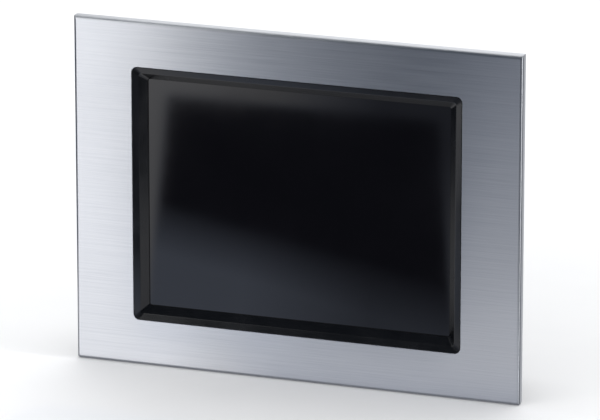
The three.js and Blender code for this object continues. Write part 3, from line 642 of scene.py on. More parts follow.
MIRRORED = {"across": -0.33, "up": -0.34}  # how far the card's mirror image moves with its depth
SCREEN_HALF = (0.127, 0.097)  # the part of the card's image that falls on the screen
SCREEN_FADE = 0.007


def reflector_card():
    """Glows where the front mirrors it: bright for the left and the lower steel, dim to the upper
    right, and dark in the middle but for a slanting corner that lies across the screen."""
    made, n, shader, place = material("reflector_card")
    spot = n.add("ShaderNodeSeparateXYZ")
    n.feed(spot, Vector=place)
    deep = spot.outputs["Y"]
    across = n.plus(spot.outputs["X"], n.times(deep, MIRRORED["across"]))
    up = n.plus(n.times(deep, MIRRORED["up"]), FLOOR)
    # the steel: a fall of light to the right, another to the top, and an end at the far left
    sideways = n.times(n.spread(across, -0.11, 0.075, 1.35, 0.23), n.spread(up, -0.1, 0.13, 0.94, 1.2))
    upwards = n.times(n.spread(up, 0.09, -0.09, 0.2, 0.95), n.spread(up, -0.15, -0.115, 0.55, 1))
    steel = n.times(n.math("MAXIMUM", sideways, upwards), n.spread(across, -0.42, -0.3, 0.12, 1))
    # the screen: a slanting corner over a faint glow
    slant = n.plus(up, n.times(across, 0.19))
    corner = n.times(n.spread(slant, -0.075, -0.028, 1, 0), n.spread(across, -0.05, 0.06, 0.9, 0.4))
    screen_glow = n.plus(corner, 0.05)
    edges = [n.spread(n.math("ABSOLUTE", way), half, half + SCREEN_FADE, 1, 0)
             for way, half in zip((across, up), SCREEN_HALF)]
    inside = n.times(*edges)
    level = n.plus(n.times(steel, n.math("SUBTRACT", 1.0, inside)), n.times(screen_glow, inside))
    tint = n.mix(n.spread(level, 0.1, 1.0), (0.8, 0.9, 1.15, 1), (0.98, 0.985, 1.02, 1))
    tint = n.mix(inside, tint, (0.84, 0.95, 1.2, 1))
    lit = n.add("ShaderNodeVectorMath", operation="SCALE")
    n.plug(lit.inputs[0], tint)
    n.plug(lit.inputs["Scale"], level)
    n.feed(shader, Base_Color=(0, 0, 0, 1), Emission_Color=lit.outputs[0], Emission_Strength=1.0)
    n.feed(shader, Specular_IOR_Level=0)
    return made


STEEL = brushed_steel()
FRAME_BLACK = frame_plastic()
GLASS = dark_glass()
FINISHES = {
    name: grained(name, *look)
    for name, *look in (
        # name, colour, lighter colour, roughness, metal, grain size, grain depth
        ("galvanised_steel", (0.5, 0.51, 0.52), (0.62, 0.63, 0.64), 0.42, 1.0, 6, 0.01),
        ("cast_frame", (0.45, 0.46, 0.47), (0.55, 0.56, 0.57), 0.5, 1.0, 0.5, 0.04),
        ("seal_rubber", (0.012, 0.012, 0.013), (0.02, 0.02, 0.021), 0.8, 0.0, 0.4, 0.05),
        ("display_cell", (0.01, 0.01, 0.012), (0.015, 0.015, 0.018), 0.2),
        ("white_plastic", (0.7, 0.7, 0.68), (0.8, 0.8, 0.78), 0.5),
        ("circuit_board", (0.01, 0.09, 0.035), (0.016, 0.13, 0.05), 0.4, 0.0, 1.5, 0.05),
        ("heat_sink_aluminium", (0.6, 0.61, 0.62), (0.7, 0.71, 0.72), 0.35, 1.0),
        ("cable_foil", (0.3, 0.16, 0.03), (0.4, 0.22, 0.05), 0.35),
        ("housing_paint", (0.045, 0.048, 0.053), (0.06, 0.064, 0.07), 0.55, 0.0, 0.6, 0.06),
        ("zinc_steel", (0.5, 0.52, 0.54), (0.62, 0.63, 0.64), 0.3, 1.0),
        ("clamp_zinc", (0.42, 0.43, 0.45), (0.52, 0.53, 0.55), 0.42, 1.0, 0.5, 0.03),
        ("pad_plastic", (0.018, 0.018, 0.02), (0.03, 0.03, 0.032), 0.5),
        ("socket_metal", (0.55, 0.55, 0.54), (0.65, 0.65, 0.64), 0.25, 1.0),
        ("black_plastic", (0.015, 0.015, 0.017), (0.024, 0.024, 0.027), 0.45),
        ("plug_plastic", (0.02, 0.16, 0.05), (0.03, 0.22, 0.08), 0.42),
        ("card_plastic", (0.04, 0.043, 0.05), (0.055, 0.058, 0.066), 0.4),
        ("gold_contact", (0.75, 0.52, 0.2), (0.85, 0.62, 0.28), 0.22, 1.0),
        ("green_lens", (0.03, 0.22, 0.05), (0.05, 0.3, 0.08), 0.18),
        ("amber_lens", (0.4, 0.18, 0.02), (0.5, 0.25, 0.03), 0.18),
        ("white_mark", (0.65, 0.65, 0.63), (0.75, 0.75, 0.73), 0.5),
    )
}


def finish_cad_nodes():
    """Every CAD node that stays in view takes the finish of its slot."""
    for part in frame["record"]["subparts"]:
        finish = FINISHES.get(part["material_slot"])
        if finish:
            for slot in frame["nodes"][part["node"]].material_slots:
                slot.material = finish


# ------------------------------------------------------------------ front
BEND = 3  # outer radius of the fold
SHEET = 2
WINDOW = (270, 208, 5)  # width, height, corner radius
DEBURR = 0.3
CORNER = 0.8


def lay_grain(bm, face_depth):
    """UVs of the flat sheet, so that the grain goes over the folds as it does on real sheet."""
    layer = bm.loops.layers.uv.new(GRAIN_MAP)
    for face in bm.faces:
        across, up = abs(face.normal.x), abs(face.normal.z)
        for loop in face.loops:
            x, y, z = loop.vert.co
            deep = y - face_depth
            u = x + math.copysign(deep, x) if across > max(up, 0.5) else x
            v = z + math.copysign(deep, z) if up > max(across, 0.5) else z
            loop[layer].uv = (u, v)


def front_plate():
    """One sheet: folded edge, front face, window, and back along the inside of the fold."""
    wide, _, high = size_of("front_panel")
    low, back = depths_of("front_panel")
    outside, inside = (wide, high), (wide - 2 * SHEET, high - 2 * SHEET)
    rim, behind, inner_bend = 0.2, low + SHEET, BEND - SHEET
    stations = [grown(outside, -2 * rim, CORNER, back), grown(outside, 0, CORNER, back - rim)]
    for along, inward in quarter(7):
        stations.append(grown(outside, -2 * BEND * inward, CORNER, low + BEND * (1 - along)))
    for along, inward in quarter(3):
        grow = 2 * DEBURR * (1 - along)
        stations.append(grown(WINDOW, grow, WINDOW[2] + grow / 2, low + DEBURR * inward))
    stations += [
        grown(WINDOW, 0, WINDOW[2], behind),
        grown(inside, -2 * inner_bend, CORNER / 2, behind),
        grown(inside, 0, CORNER / 2, behind + inner_bend),
        grown(inside, 0, CORNER / 2, back - rim),
        grown(inside, 2 * rim, CORNER / 2, back),
    ]
    bm = loft(stations)
    lay_grain(bm, low * MM)
    stand_for(finished(bm, "steel_front", [STEEL]), "front_panel")


VIEW = (248, 186.5, 1.5)  # the glass in view: width, height, corner radius
SLOPE = 5.5  # the frame falls this far to the glass, at 45 degrees
DIP = 1.25  # and starts this far behind its lip


def black_frame():
    """From the steel's window over the lip, down the slope to the glass, and round the flange."""
    low, back = depths_of("bezel_frame")
    gap, edge, soft = 0.25, 0.35, 0.5
    outside, radius = (WINDOW[0] - 2 * gap, WINDOW[1] - 2 * gap), WINDOW[2] - gap
    flange, lug, wall = size_of("bezel_frame").xz, 4, 16
    behind, lug_back = low + 1.75, low + 4.75
    crest, foot, tight = low + DIP, low + DIP + SLOPE, VIEW[2]
    stations = [grown(outside, 0, radius, behind), grown(outside, 0, radius, low + edge)]
    for along, inward in quarter(4):
        shrink = 2 * edge * inward
        stations.append(grown(outside, -shrink, radius - shrink / 2, low + edge * (1 - along)))
    stations += [
        grown(VIEW, 2 * SLOPE + 2 * soft, 3.2, crest - soft * 0.24),
        grown(VIEW, 2 * SLOPE + 0.5 * soft, 2.8, crest),
        grown(VIEW, 2 * SLOPE - soft, 2.6, crest + soft * 0.5),
        grown(VIEW, 0.6, tight + 0.2, foot - 0.3),
        grown(VIEW, 0, tight, foot),
        grown(VIEW, 0, tight, back),
        grown(flange, -wall, lug, back),
        grown(flange, -wall, lug, lug_back),
        grown(flange, 0, lug, lug_back),
        grown(flange, 0, lug, behind),
    ]
    stand_for(finished(loft(stations, segments=8), "black_frame", [FRAME_BLACK]), "bezel_frame")


def screen():
    """Glass with a ground step round its rim and its edges taken off."""
    low, back = depths_of("touch_glass")
    size, face = size_of("touch_glass").xz, (VIEW[0] - 0.5, VIEW[1] - 0.5)
    radius, arris, step = VIEW[2] - 0.25, 0.15, low + 0.75
    stations = [
        grown(face, -2 * arris, radius - arris, low),
        grown(face, 0, radius, low + arris),
        grown(face, 0, radius, step),
        grown(size, -2 * arris, 1, step),
        grown(size, 0, 1, step + arris),
        grown(size, 0, 1, back - arris),
        grown(size, -2 * arris, 1, back),
    ]
    glass = finished(loft(stations, closed=False, segments=4), "touch_screen", [GLASS])
    stand_for(glass, "touch_glass")


# ------------------------------------------------------------------ cast frame and seal
CUTOUT = (314, 234)


def cast_backing():
    """The frame behind the steel, with a drain groove round the seal's seat."""
    wide, _, high = size_of("support_frame")
    low, back = depths_of("support_frame")
    seat, lug, edge, groove = back - 2, back - 3, 0.4, 0.7
    outside, drain = (wide, high), (wide - 22, high - 18)
    stations = [
        grown(WINDOW, 4, 3, lug),
        grown(WINDOW, 4, 3, back - edge),
        grown(WINDOW, 4 + 2 * edge, 3, back),
        grown(CUTOUT, -2 * edge, 3, back),
        grown(CUTOUT, 0, 3, back - edge),
        grown(CUTOUT, 0, 3, seat),
        grown(drain, -4, 2, seat),
        grown(drain, -3, 2, seat - groove),
        grown(drain, 3, 2, seat - groove),
        grown(drain, 4, 2, seat),
        grown(outside, -2 * edge, 1, seat),
        grown(outside, 0, 1, seat - edge),
        grown(outside, 0, 1, low),
        grown(WINDOW, 17, 4, low),
        grown(WINDOW, 17, 4, lug),
    ]
    shape = Shape()
    shape.take(loft(stations))
    shape.make("cast_backing", ["cast_frame"], "support_frame")


def cabinet_seal():
    """Rubber ring with two soft ridges that meet the cabinet."""
    low, back = depths_of("panel_seal")
    inner, outer = (CUTOUT[0] + 0.5, CUTOUT[1] + 0.5), size_of("panel_seal").xz
    ridge, steps = 0.9, 16
    flat = back - ridge
    stations = [(*inner, 3, low), (*inner, 3, flat)]
    for i in range(1, steps):
        share = i / steps
        rise = ridge * abs(math.sin(2 * math.pi * share)) ** 0.7
        stations.append(grown(inner, (outer[0] - inner[0]) * share, 3 - 2 * share, flat + rise))
    stations += [(*outer, 1, flat), (*outer, 1, low)]
    shape = Shape()
    shape.take(loft(stations))
    shape.make("cabinet_seal", ["seal_rubber"], "panel_seal", sharp=50)


# ------------------------------------------------------------------ housing
HOUSING = {"wide": 308, "tall": 224, "deep": 58, "sheet": 1.25, "bend": 2, "flange": 10}
HEM = 3  # how far the folded rings reach along the depth
LIFT = 8  # a clamp screw's axis over the wall
LUGS = (20, 36)
SIDES = {"top": 0, "bottom": math.pi, "left": -math.pi / 2, "right": math.pi / 2}
CLAMPS = ("top_left", "top_right", "bottom_left", "bottom_right", "left", "right")
HOOK_WAY = {  # the way each clamp slides off its hooks
    side: next(j["axis"] for j in frame["record"]["behaviour"]["joints"] if j["name"] == f"hook_{side}")
    for side in CLAMPS
}


def row(count, reach):
    return [-reach + 2 * reach * i / (count - 1) for i in range(count)]


def folded_ring(turned_over):
    """The bend and the inward flange at the front or, turned over, at the back of the housing."""
    sheet, bend, flange, deep = (HOUSING[key] for key in ("sheet", "bend", "flange", "deep"))
    size, inner_bend = (HOUSING["wide"], HOUSING["tall"]), bend - sheet
    outer = [grown(size, -2 * bend * i, 2, bend * (1 - a)) for a, i in quarter(5)]
    inner = [grown(size, -2 * sheet - 2 * inner_bend * i, 1, sheet + inner_bend * (1 - a))
             for a, i in quarter(3)]
    stations = [grown(size, 0, 2, HEM), *outer, grown(size, -2 * flange, 1, 0),
                grown(size, -2 * flange, 1, sheet), *inner[::-1], grown(size, -2 * sheet, 1, HEM)]
    if turned_over:
        stations = [(w, h, r, deep - y) for w, h, r, y in stations]
    return loft(stations)


def keyhole(x, y, way):
    """Narrow where a clamp hooks on and wide where it goes in."""
    return [(x + way * u, y + v) for u, v in (
        (-2.3, -1.8), (3.6, -1.8), (3.6, -3.4), (8.4, -3.4), (8.4, 3.4), (3.6, 3.4), (3.6, 1.8), (-2.3, 1.8))]


def bottom_holes():
    """Vents, and the openings for the sockets, the switch and the screws, drawn in (x, depth)."""
    holes = [round_rect(2.5, 10, 1.2, x, 49) for x in row(18, 96)]
    for node in ("network_socket_left", "network_socket_right", "usb_socket_stack"):
        low, high = corners_of(node)
        holes.append(round_rect(high.x - low.x + 0.5, high.y - low.y + 0.5, 0.4,
                                (low.x + high.x) / 2, (low.y + high.y) / 2))
    low, high = corners_of("power_header")
    holes.append(round_rect(28.5, 12.5, 0.4, (low.x + high.x) / 2, (low.y + high.y) / 2))
    switch = middle_of("switch_body")
    holes.append(round_rect(19.5, 13.5, 0.5, switch.x, switch.y))
    earth = middle_of("earth_screw")
    holes.append(disc(2.25, earth.x, earth.y, 16))
    for node, shell, post in (("serial_socket", 18, 12.5), ("video_socket", 27, 16.5)):
        x, y = middle_of(node).x, DECK + SHELL_AXIS
        holes.append(round_rect(shell, 9.5, 1.5, x, y))
        holes += [disc(2.9, x + side * post, y, 16) for side in (-1, 1)]
    return holes


def housing():
    wide, tall, sheet, deep = (HOUSING[key] for key in ("wide", "tall", "sheet", "deep"))
    y0, y1, round_off = HEM, deep - HEM, 2
    shape = Shape()
    shape.take(folded_ring(False))
    shape.take(folded_ring(True))
    across, up = wide / 2 - round_off, tall / 2 - round_off
    keys = {side: [] for side in SIDES}
    for clamp in CLAMPS:
        side = clamp.split("_")[0]
        place = middle_of(f"clamp_body_{clamp}")
        along = place.z if side in ("left", "right") else place.x
        way = sum(HOOK_WAY[clamp])
        keys[side] += [keyhole(along, y, way) for y in LUGS]
    slots = [round_rect(2.5, 28, 1.2, x, 32) for x in row(24, 103)]
    low, high = corners_of("card_bay")
    card = rect(low.z + 2.25, high.z - 2.25, CARD_Y - 4.375, CARD_Y + 4.375)
    holes = {"top": slots + keys["top"], "bottom": bottom_holes() + keys["bottom"],
             "left": keys["left"], "right": keys["right"] + [card]}
    for side, reach, out in (("top", across, tall / 2), ("bottom", across, tall / 2),
                             ("left", up, wide / 2), ("right", up, wide / 2)):
        wall = punched(rect(-reach, reach, y0, y1), holes[side], sheet)
        shape.take(wall, place=WALLS[side] @ at(z=out))
    for x, z, turn in ((across, up, 0), (-across, up, 90), (-across, -up, 180), (across, -up, 270)):
        corner = [*arc(x, z, round_off, turn, turn + 90, 5)]
        corner += [*arc(x, z, round_off - sheet, turn + 90, turn, 5)]
        shape.take(punched(corner, (), y1 - y0), place=WALLS["back"] @ at(z=y1))
    shape.make("housing", ["housing_paint"], "housing_shell", sharp=40)


def back_cover():
    wide, tall, deep = HOUSING["wide"], HOUSING["tall"], HOUSING["deep"]
    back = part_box("rear_cover")[1].y / MM
    holes = [round_rect(3, 30, 1.45, x, z) for z in (74, -74) for x in row(20, 95)]
    for i in range(1, 7):
        place = middle_of(f"rear_cover_screw_{i}")
        holes.append(disc(1.75, place.x, place.z, 12))
    shape = Shape()
    cover = punched(round_rect(wide, tall, 2), holes, back - deep, soft=0.2)
    shape.take(cover, place=WALLS["back"] @ at(z=back))
    shape.make("back_cover", ["housing_paint"], "rear_cover")


def cross(arm, half):
    """A cross-shaped outline."""
    quarter_turn = [(half, -half), (arm, -half), (arm, half)]
    points = []
    for _ in range(4):
        points += quarter_turn
        quarter_turn = [(-v, u) for u, v in quarter_turn]
    return points


def recessed_top(shape, radius, top, recess, deep, paint=0, sides=24, place=Matrix()):
    """A flat round top with a recess of the outline's shape sunk into it, facing back along Y."""
    turn = place @ WALLS["back"]
    shape.take(punched(disc(radius, steps=sides), [recess], deep), paint, turn @ at(z=top))
    floor = punched(disc(radius * 0.98, steps=sides), (), 0.2)
    shape.take(floor, paint, turn @ at(z=top - deep + 0.02))


def cover_screw(number):
    """Pan-head screw with a cross recess."""
    node = f"rear_cover_screw_{number}"
    low, high = corners_of(node)
    top, seat = high.y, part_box("rear_cover")[1].y / MM
    shape = Shape()
    flat = 1.9
    shape.take(turned([(0, low.y), (1.3, low.y), (1.5, low.y + 0.4), (1.5, seat + 0.05), (2.7, seat + 0.05),
                       (3, seat + 0.3), (3, seat + 1), (2.85, seat + 1.4), (2.5, top - 0.28),
                       (flat + 0.2, top - 0.06), (flat, top), (flat, top - 0.9), (0, top - 0.9)]))
    recessed_top(shape, flat, top, cross(1.5, 0.36), 0.9)
    x, z = (low.x + high.x) / 2, (low.z + high.z) / 2
    shape.make(f"cover_screw_{number}", ["zinc_steel"], node, at(x, 0, z))


# ------------------------------------------------------------------ clamps
def clamp_place(side):
    """From the wall's outer face, with +Z out of it, to where the clamp is."""
    axis = middle_of(f"clamp_screw_{side}")
    return at(axis.x, 0, axis.z) @ Matrix.Rotation(SIDES[side.split("_")[0]], 4, "Y") @ at(z=-LIFT)


def clamp_casting(side):
    """Foot plate, round boss for the screw, two ribs, and two T-shaped hooks for the keyholes."""
    front, boss, back, radius, bore, rib = 14, 30, 42, 7, 2.75, 3
    shape = Shape()
    shape.take(brick((-9, front, 0.3), (9, back, 3.3), 0.7, 3))
    arch = [(-radius, 2), (radius, 2), *arc(0, LIFT, radius, 0, 180, 24)]
    boss_block = punched(arch, [disc(bore, 0, LIFT)], back - boss, soft=0.45)
    shape.take(boss_block, place=WALLS["back"] @ at(z=back))
    flank = [(front + 3.5, 3), (boss + 1, 3), (boss + 1, LIFT + 0.5), (boss - 0.5, LIFT)]
    turn = Matrix(((0, 0, 1, 0), (1, 0, 0, 0), (0, 1, 0, 0), (0, 0, 0, 1)))
    for outer in (rib - radius, radius):
        shape.take(punched(flank, (), rib, soft=0.35), place=turn @ at(z=outer))
    shape.take(brick((-3.2, front + 2.5, 2.6), (3.2, boss - 3, 3.75), 0.4))
    for y in LUGS:
        shape.take(brick((-2, y - 1.5, -2.5), (2, y + 1.5, 1), 0.2))
        shape.take(brick((-2, y - 3, -3.25), (2, y + 3, -1.55), 0.3))
    shape.make(f"clamp_casting_{side}", ["clamp_zinc"], f"clamp_body_{side}", clamp_place(side),
               body=f"clamp_{side}")


def clamp_foot(side):
    """Swivelling plastic foot with a ribbed face and a collar."""
    rest = 9
    ribs = [(0, 0.35), (1.2, 0.35), (1.5, 0)]
    for r in (2.4, 3.6, 4.8):
        ribs += [(r, 0), (r + 0.25, 0.35), (r + 0.65, 0.35), (r + 0.9, 0)]
    profile = ribs + [(5.75, 0), (6, 0.3), (6, 2.2), (5.7, 2.7), (5.2, 3), (4.4, 3), (4.1, 3.2), (4, 3.6),
                      (4, 6.6), (3.7, 7), (2.4, 7), (2.25, 6.8), (2.25, 3.5), (0, 3.5)]
    shape = Shape()
    shape.take(turned(profile, 32, spot=(0, rest, LIFT)))
    shape.make(f"clamp_foot_{side}", ["pad_plastic"], f"clamp_pad_{side}", clamp_place(side),
               body=f"pad_{side}")


def clamp_bolt(side):
    """M5 screw with a knurled socket head and a hexagonal key hole."""
    tip, neck, head, end, pitch = 13, 17, 50, 54, 0.8
    shape = Shape()
    core, under_head = 2.05, head + 0.2
    shape.take(turned([(0, tip), (1.7, tip), (2, tip + 0.3), (2, neck), (core, neck + 0.3),
                       (core, under_head), (0, under_head)], 20))
    shape.take(threaded(2.5, pitch, neck + 0.2, head + 0.4))
    inner, key, key_depth, ribs = 3.3, 2.2, 2.4, 32
    sunk = end - key_depth
    shape.take(turned([(0, head), (3.7, head), (3.85, under_head), (3.85, end - 0.5), (3.75, end - 0.2),
                       (3.5, end), (inner, end), (inner, sunk), (0, sunk)], ribs))
    recessed_top(shape, inner, end, disc(key, steps=6), key_depth, sides=ribs)
    for i in range(ribs):  # the knurl
        rib = brick((3.7, head + 0.5, -0.14), (4.0, end - 0.7, 0.14), 0)
        shape.take(rib, place=Matrix.Rotation(2 * math.pi * i / ribs, 4, "Y"))
    shape.make(f"clamp_bolt_{side}", ["zinc_steel"], f"clamp_screw_{side}",
               clamp_place(side) @ at(z=LIFT), body=f"screw_{side}")


# ------------------------------------------------------------------ sockets, mouths down
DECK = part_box("network_socket_left")[0].y / MM  # the board's face that the sockets stand on
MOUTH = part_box("network_socket_left")[0].z / MM
SHELL_AXIS = 7  # how far the D-shaped connectors' middles lie from the deck
CARD_Y = 30  # how deep the memory card lies


def facing_down(node, depth):
    """From a mouth drawn at z = 0, opening towards +Z, to the bottom of the housing."""
    return at(middle_of(node).x, depth, MOUTH) @ WALLS["bottom"]


def network_socket(node):
    """Shielded jack with a latch notch, eight sprung contacts and two lamps."""
    wide, tall, deep = 15.98, 13.48, 18
    latch, low, high = (3, 1.5), 3.5, 11.5
    lamp_x, lamp_y, pitch = 5.4, 1.95, 1.02

    def mouth(inset):
        x, notch = 6 - inset, latch[0] - inset
        return [(-x, low + inset), (-notch, low + inset), (-notch, latch[1] + inset),
                (notch, latch[1] + inset), (notch, low + inset), (x, low + inset),
                (x, high - inset), (-x, high - inset)]

    shape = Shape()
    lamps = [round_rect(2.6, 1.5, 0.2, x, lamp_y) for x in (-lamp_x, lamp_x)]
    outline = round_rect(wide, tall, 0.5, 0, 6.75)
    shape.take(punched(outline, [mouth(0), *lamps], deep, soft=0.15))
    shape.take(punched(rect(-6.2, 6.2, 1.2, 11.8), [mouth(0.45)], deep - 1), 1, at(z=-0.5))
    shape.take(punched(rect(-6, 6, 1, 12), (), 1), 1, at(z=-13))
    for x, lens in ((-lamp_x, 3), (lamp_x, 4)):
        shape.take(punched(round_rect(2.5, 1.4, 0.2, x, lamp_y), (), 3), lens, at(z=-0.2))
    slope = at(0, 10.9, -1.4) @ Matrix.Rotation(math.radians(-17), 4, "X") @ at(0, -10.9, 1.4)
    for i in range(8):
        x = (i - 3.5) * pitch
        shape.take(brick((x - 0.22, 10.6, -9), (x + 0.22, 10.9, -1.4), 0.08), 2, slope)
    shape.make(node.replace("_socket", "_jack"),
               ["socket_metal", "black_plastic", "gold_contact", "green_lens", "amber_lens"],
               node, facing_down(node, DECK))


def usb_stack():
    """Two flat sockets, one over the other, each with a tongue and four contacts."""
    node = "usb_socket_stack"
    wide, tall, deep = 14.5, 15.5, 17
    levels, pitch = (4, 11.5), 2.3
    shape = Shape()
    mouths = [round_rect(12.5, 5, 0.35, 0, y) for y in levels]
    shape.take(punched(round_rect(wide - 0.02, tall - 0.02, 0.6, 0, tall / 2), mouths, 13, soft=0.2))
    shape.take(brick((-wide / 2 + 0.2, 0.2, -deep), (wide / 2 - 0.2, tall - 0.2, -12.9), 0.3), 1)
    for y in levels:
        shape.take(brick((-5.5, y - 0.875, -13.5), (5.5, y + 0.875, -2), 0.2), 1)
        for i in range(4):
            x = (i - 1.5) * pitch
            shape.take(brick((x - 0.55, y - 1.0, -12), (x + 0.55, y - 0.8, -2.6), 0.05), 2)
    shape.make("usb_jacks", ["socket_metal", "black_plastic", "gold_contact"], node,
               facing_down(node, DECK))


def d_outline(wide, tall):
    """The D of the connector's shell, with rounded corners and slanting sides."""
    x, y, slant, radius = wide / 2, tall / 2, 1.5, 1.4
    lean = math.degrees(math.atan2(slant, tall))
    foot, brow = x - slant - radius, x - radius
    return [*arc(foot, -y + radius, radius, -90, -lean, 4), *arc(brow, y - radius, radius, -lean, 90, 4),
            *arc(-brow, y - radius, radius, 90, 180 + lean, 4),
            *arc(-foot, -y + radius, radius, 180 + lean, 270, 4)]


def d_socket(node, name, shell, flange, post, rows, holes):
    """A D-shaped connector: drawn shell, insert with pins or holes, and two hexagonal jack posts."""
    tall, stands, behind = 8.5, 4.5, 1.5
    inside = d_outline(shell - 1.1, tall - 1.1)
    shape = Shape()
    shape.take(punched(d_outline(shell, tall), [inside], stands + 1, soft=0.15), 0, at(z=stands))
    face = stands - (0.6 if holes else 3.4)
    sunk = [disc(0.62, x, y, 8) for x, y in rows] if holes else []
    shape.take(punched(inside, sunk, 1.5), 1, at(z=face))
    shape.take(punched(d_outline(shell - 1.2, tall - 1.2), (), 3), 1, at(z=face - 1.4))
    if not holes:
        for x, y in rows:
            pin = turned([(0, 0), (0.5, 0), (0.5, 2.4), (0.35, 2.75), (0, 2.85)], 10, UP, (x, y, 0.6))
            shape.take(pin, 2)
    shape.take(brick((-flange / 2, -6.25, -behind - 1), (flange / 2, 6.25, -behind), 0.2))
    shape.take(brick((-flange / 2 + 5, -7, -12), (flange / 2 - 5, 4, -behind - 0.5), 0.3), 1)
    for x in (-post, post):
        nut = punched(disc(2.5, steps=6), [disc(1.25, steps=12)], stands + behind + 0.5, soft=0.2)
        shape.take(nut, 3, at(x=x, z=stands))
        shape.take(punched(disc(1.3, steps=12), (), 1), 1, at(x=x, z=stands - 2.8))
    shape.make(name, ["socket_metal", "black_plastic", "gold_contact", "zinc_steel"],
               node, facing_down(node, DECK + SHELL_AXIS))


def serial_jack():
    rows = [((i - (count - 1) / 2) * 2.75, y) for count, y in ((5, 1.5), (4, -1.5)) for i in range(count)]
    d_socket("serial_socket", "serial_jack", 17, 31, 12.5, rows, False)


def video_jack():
    rows = [((i - 2) * 2.3 + lean, y) for y, lean in ((2.1, 0.5), (0, 0), (-2.1, -0.5)) for i in range(5)]
    d_socket("video_socket", "video_jack", 26, 38, 16.5, rows, True)


def earth_bolt():
    """Hexagonal head with a slot over a toothed washer and a flat washer."""
    node = "earth_screw"
    shape = Shape()
    shape.take(turned([(0, -8), (1.7, -8), (2, -7.6), (2, 0.3), (0, 0.3)], 20, UP))
    shape.take(turned([(2.1, 0.25), (4.8, 0.25), (5, 0.4), (5, 0.8), (4.8, 0.95), (2.1, 0.95)], 32, UP))
    for i in range(12):
        tooth = brick((2.4, -0.45, 0.9), (4.4, 0.45, 1.3), 0.08)
        shape.take(tooth, place=Matrix.Rotation(2 * math.pi * i / 12, 4, "Z")
                   @ Matrix.Rotation(math.radians(9), 4, "X"))
    head = punched(disc(3.7, steps=6), [rect(-2.8, 2.8, -0.5, 0.5)], 1, soft=0.12)
    shape.take(head, 0, at(z=3.95))
    shape.take(punched(disc(3.65, steps=6), (), 1.8), 0, at(z=2.98))
    shape.make("earth_bolt", ["zinc_steel"], node, facing_down(node, middle_of(node).y))


# ------------------------------------------------------------------ supply, switch and card
POLES = (-8, 0, 8)


def supply_header():
    """Open box with a pin for each pole."""
    node = "power_header"
    shape = Shape()
    room = rect(-12.75, 12.75, 1.75, 10.75)
    shape.take(punched(round_rect(28, 12, 0.6, 0, 6), [room], 10.5, soft=0.3))
    shape.take(brick((-13.5, 0.5, -12), (13.5, 11.5, -10.4), 0.3))
    for x in POLES:
        shape.take(brick((x - 0.6, 5.6, -10.6), (x + 0.6, 6.8, -2.5), 0.15), 1)
    shape.make("supply_header", ["black_plastic", "socket_metal"], node,
               facing_down(node, DECK))


def supply_plug():
    """Plug with three slotted clamping screws and a mouth for each wire."""
    node = "power_plug"
    wide, low, high, end, screws, lid = 27, 0.5, 13, 14, 8, 0.9
    shape = Shape()
    pin_holes = [round_rect(2, 2, 0.2, x, 6.2) for x in POLES]
    shape.take(punched(rect(-12.2, 12.2, 2.3, 10.2), pin_holes, 9.6, soft=0.25), 0, at(z=0.65))
    mouths = [round_rect(3.5, 3.5, 0.5, x, 5.5) for x in POLES]
    body = round_rect(wide, high - lid - low, 0.8, 0, (high - lid + low) / 2)
    shape.take(punched(body, mouths, end - 0.3, soft=0.3), 0, at(z=end))
    wells = [disc(1.9, x, screws) for x in POLES]
    grooves = [rect(x - 0.2, x + 0.2, 1.2, end - 1) for x in (-4, 4)]
    top = round_rect(wide, end - 0.3, 0.8, 0, (end + 0.3) / 2)
    shape.take(punched(top, wells + grooves, lid + 0.1, soft=0.25), 0, WALLS["back"] @ at(z=high))
    for x in POLES:
        shape.take(brick((x - 1.9, 3.6, 4), (x + 1.9, 7.4, screws), 0.2), 1)
        spot = (x, 0, screws)
        shape.take(turned([(0, 11.9), (1.75, 11.9), (1.75, 12.5), (1.6, 12.65), (1.5, 12.65), (1.5, 12.1),
                           (0, 12.1)], 20, ALONG, spot), 1)
        recessed_top(shape, 1.5, 12.65, rect(-1.3, 1.3, -0.25, 0.25), 0.45, 1, place=at(*spot))
    shape.make("supply_plug", ["plug_plastic", "zinc_steel"], node,
               facing_down(node, DECK), body="power_plug")


def switch_frame():
    """Raised rim round the rocker's pocket, and the switch's body behind it."""
    node = "switch_body"
    shape = Shape()
    pocket = rect(-8.75, 8.75, -5.75, 5.75)
    shape.take(punched(round_rect(21, 15, 1.2), [pocket], 1.5, soft=0.35), 0, at(z=1.75))
    shape.take(punched(rect(-9.5, 9.5, -6.5, 6.5), [pocket], 7), 0, at(z=0.9))
    shape.take(brick((-9.4, -6.4, -14), (9.4, 6.4, -6), 0.4))
    shape.make("switch_frame", ["black_plastic"], node, facing_down(node, middle_of(node).y))


def rocker():
    """Dished rocker, with a raised bar at one end and a ring at the other."""
    middle = middle_of("switch_body")
    half, thick = 7.75, 5.25
    pivot, tilt = MOUTH + 0.5, math.radians(11)

    def surface(x):
        return 2.25 + 1.5 * (abs(x) / half) ** 1.6

    outline = [(-half, -2), *((x, surface(x)) for x in row(17, half)), (half, -2)]
    shape = Shape()
    shape.take(punched(outline[::-1], (), 2 * thick, soft=0.3), 0, WALLS["back"] @ at(z=thick))
    shape.take(turned([(0, -6.25), (0.9, -6.25), (0.9, 6.25), (0, 6.25)], 16))
    mark, lean = 4.9, math.radians(13)
    bar = brick((-0.3, -1.6, -0.3), (0.3, 1.6, 0.06), 0.02)
    ring = turned([(1.05, -0.3), (1.55, -0.3), (1.55, 0.06), (1.05, 0.06), (1.05, -0.3)], 24, UP)
    for part, x, turn in ((bar, -mark, lean), (ring, mark, -lean)):
        shape.take(part, 1, at(x, 0, surface(x)) @ Matrix.Rotation(turn, 4, "Y"))
    place = at(middle.x, middle.y, pivot) @ Matrix.Rotation(tilt, 4, "Y") @ WALLS["bottom"]
    shape.make("rocker", ["black_plastic", "white_mark"], "switch_rocker", place, body="switch_rocker")


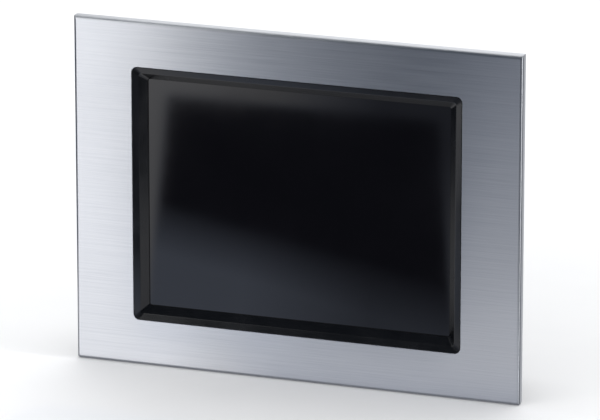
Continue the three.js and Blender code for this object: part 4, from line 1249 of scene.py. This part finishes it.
def card_door():
    """The bay's rounded lip with the slot and a thumb recess, and its sleeve behind the wall."""
    node = "card_bay"
    low, high = corners_of(node)
    z = (low.z + high.z) / 2
    wall = HOUSING["wide"] / 2
    tall = high.z - low.z
    long, thin, thumb, reach = 43.75, 4.25, 7, 6
    slot = round_rect(long, thin, 0.4)
    grip = [(-long / 2, -thin / 2), (-thumb, -thin / 2), (-thumb, -reach), (thumb, -reach),
            (thumb, -thin / 2), (long / 2, -thin / 2)]
    grip += [(-x, -y) for x, y in grip]
    shape = Shape()
    shape.take(punched(round_rect(tall, 14, 2), [grip], high.x - wall - 0.25, soft=0.3),
               0, WALLS["right"] @ at(z, CARD_Y, high.x))
    sleeve = punched(round_rect(tall - 5, 8.25, 0.6), [slot], 40)
    shape.take(sleeve, 0, WALLS["right"] @ at(z, CARD_Y, wall - 1.2))
    shape.take(punched(round_rect(tall - 5.2, 8.2, 0.6), (), 2), 0, WALLS["right"] @ at(z, CARD_Y, low.x + 2))
    shape.make("card_door", ["black_plastic"], node)


def storage_card():
    """Card with finger ridges along its edge and a ruled label."""
    node = "memory_card"
    low, high = corners_of(node)
    z, edge = (low.z + high.z) / 2, high.x - 1.5
    skin = 0.06  # what the label stands over the card
    shape = Shape()
    shape.take(brick((low.x, low.y, low.z), (edge, high.y - skin, high.z), 0.3))
    shape.take(brick((edge - 0.5, low.y, z - 15), (high.x, high.y, z + 15), 0.4))
    for i in range(-2, 3):  # finger ridges
        shape.take(brick((edge + 0.3, low.y, z + 5 * i - 0.3), (high.x, low.y + 0.4, z + 5 * i + 0.3), 0.1))
    label = brick((low.x + 6, high.y - 2 * skin, z - 15), (edge - 5, high.y, z + 15), 0)
    shape.take(label, 1)
    for i in range(4):  # lines ruled on the label
        line = z - 9 + 6 * i
        shape.take(brick((low.x + 9, high.y - skin, line), (edge - 8, high.y + 0.005, line + 0.35), 0), 0)
    shape.make("storage_card", ["card_plastic", "white_plastic"], node, body="memory_card")


# ------------------------------------------------------------------ everything, in order
make_camera()
for light in LIGHTS:
    soft_light(*light)
make_world()
make_floor()
finish_cad_nodes()
front_plate()
black_frame()
screen()
cast_backing()
cabinet_seal()
housing()
back_cover()
for number in range(1, 7):
    cover_screw(number)
for side in CLAMPS:
    clamp_casting(side)
    clamp_foot(side)
    clamp_bolt(side)
network_socket("network_socket_left")
network_socket("network_socket_right")
usb_stack()
serial_jack()
video_jack()
earth_bolt()
supply_header()
supply_plug()
switch_frame()
rocker()
card_door()
storage_card()
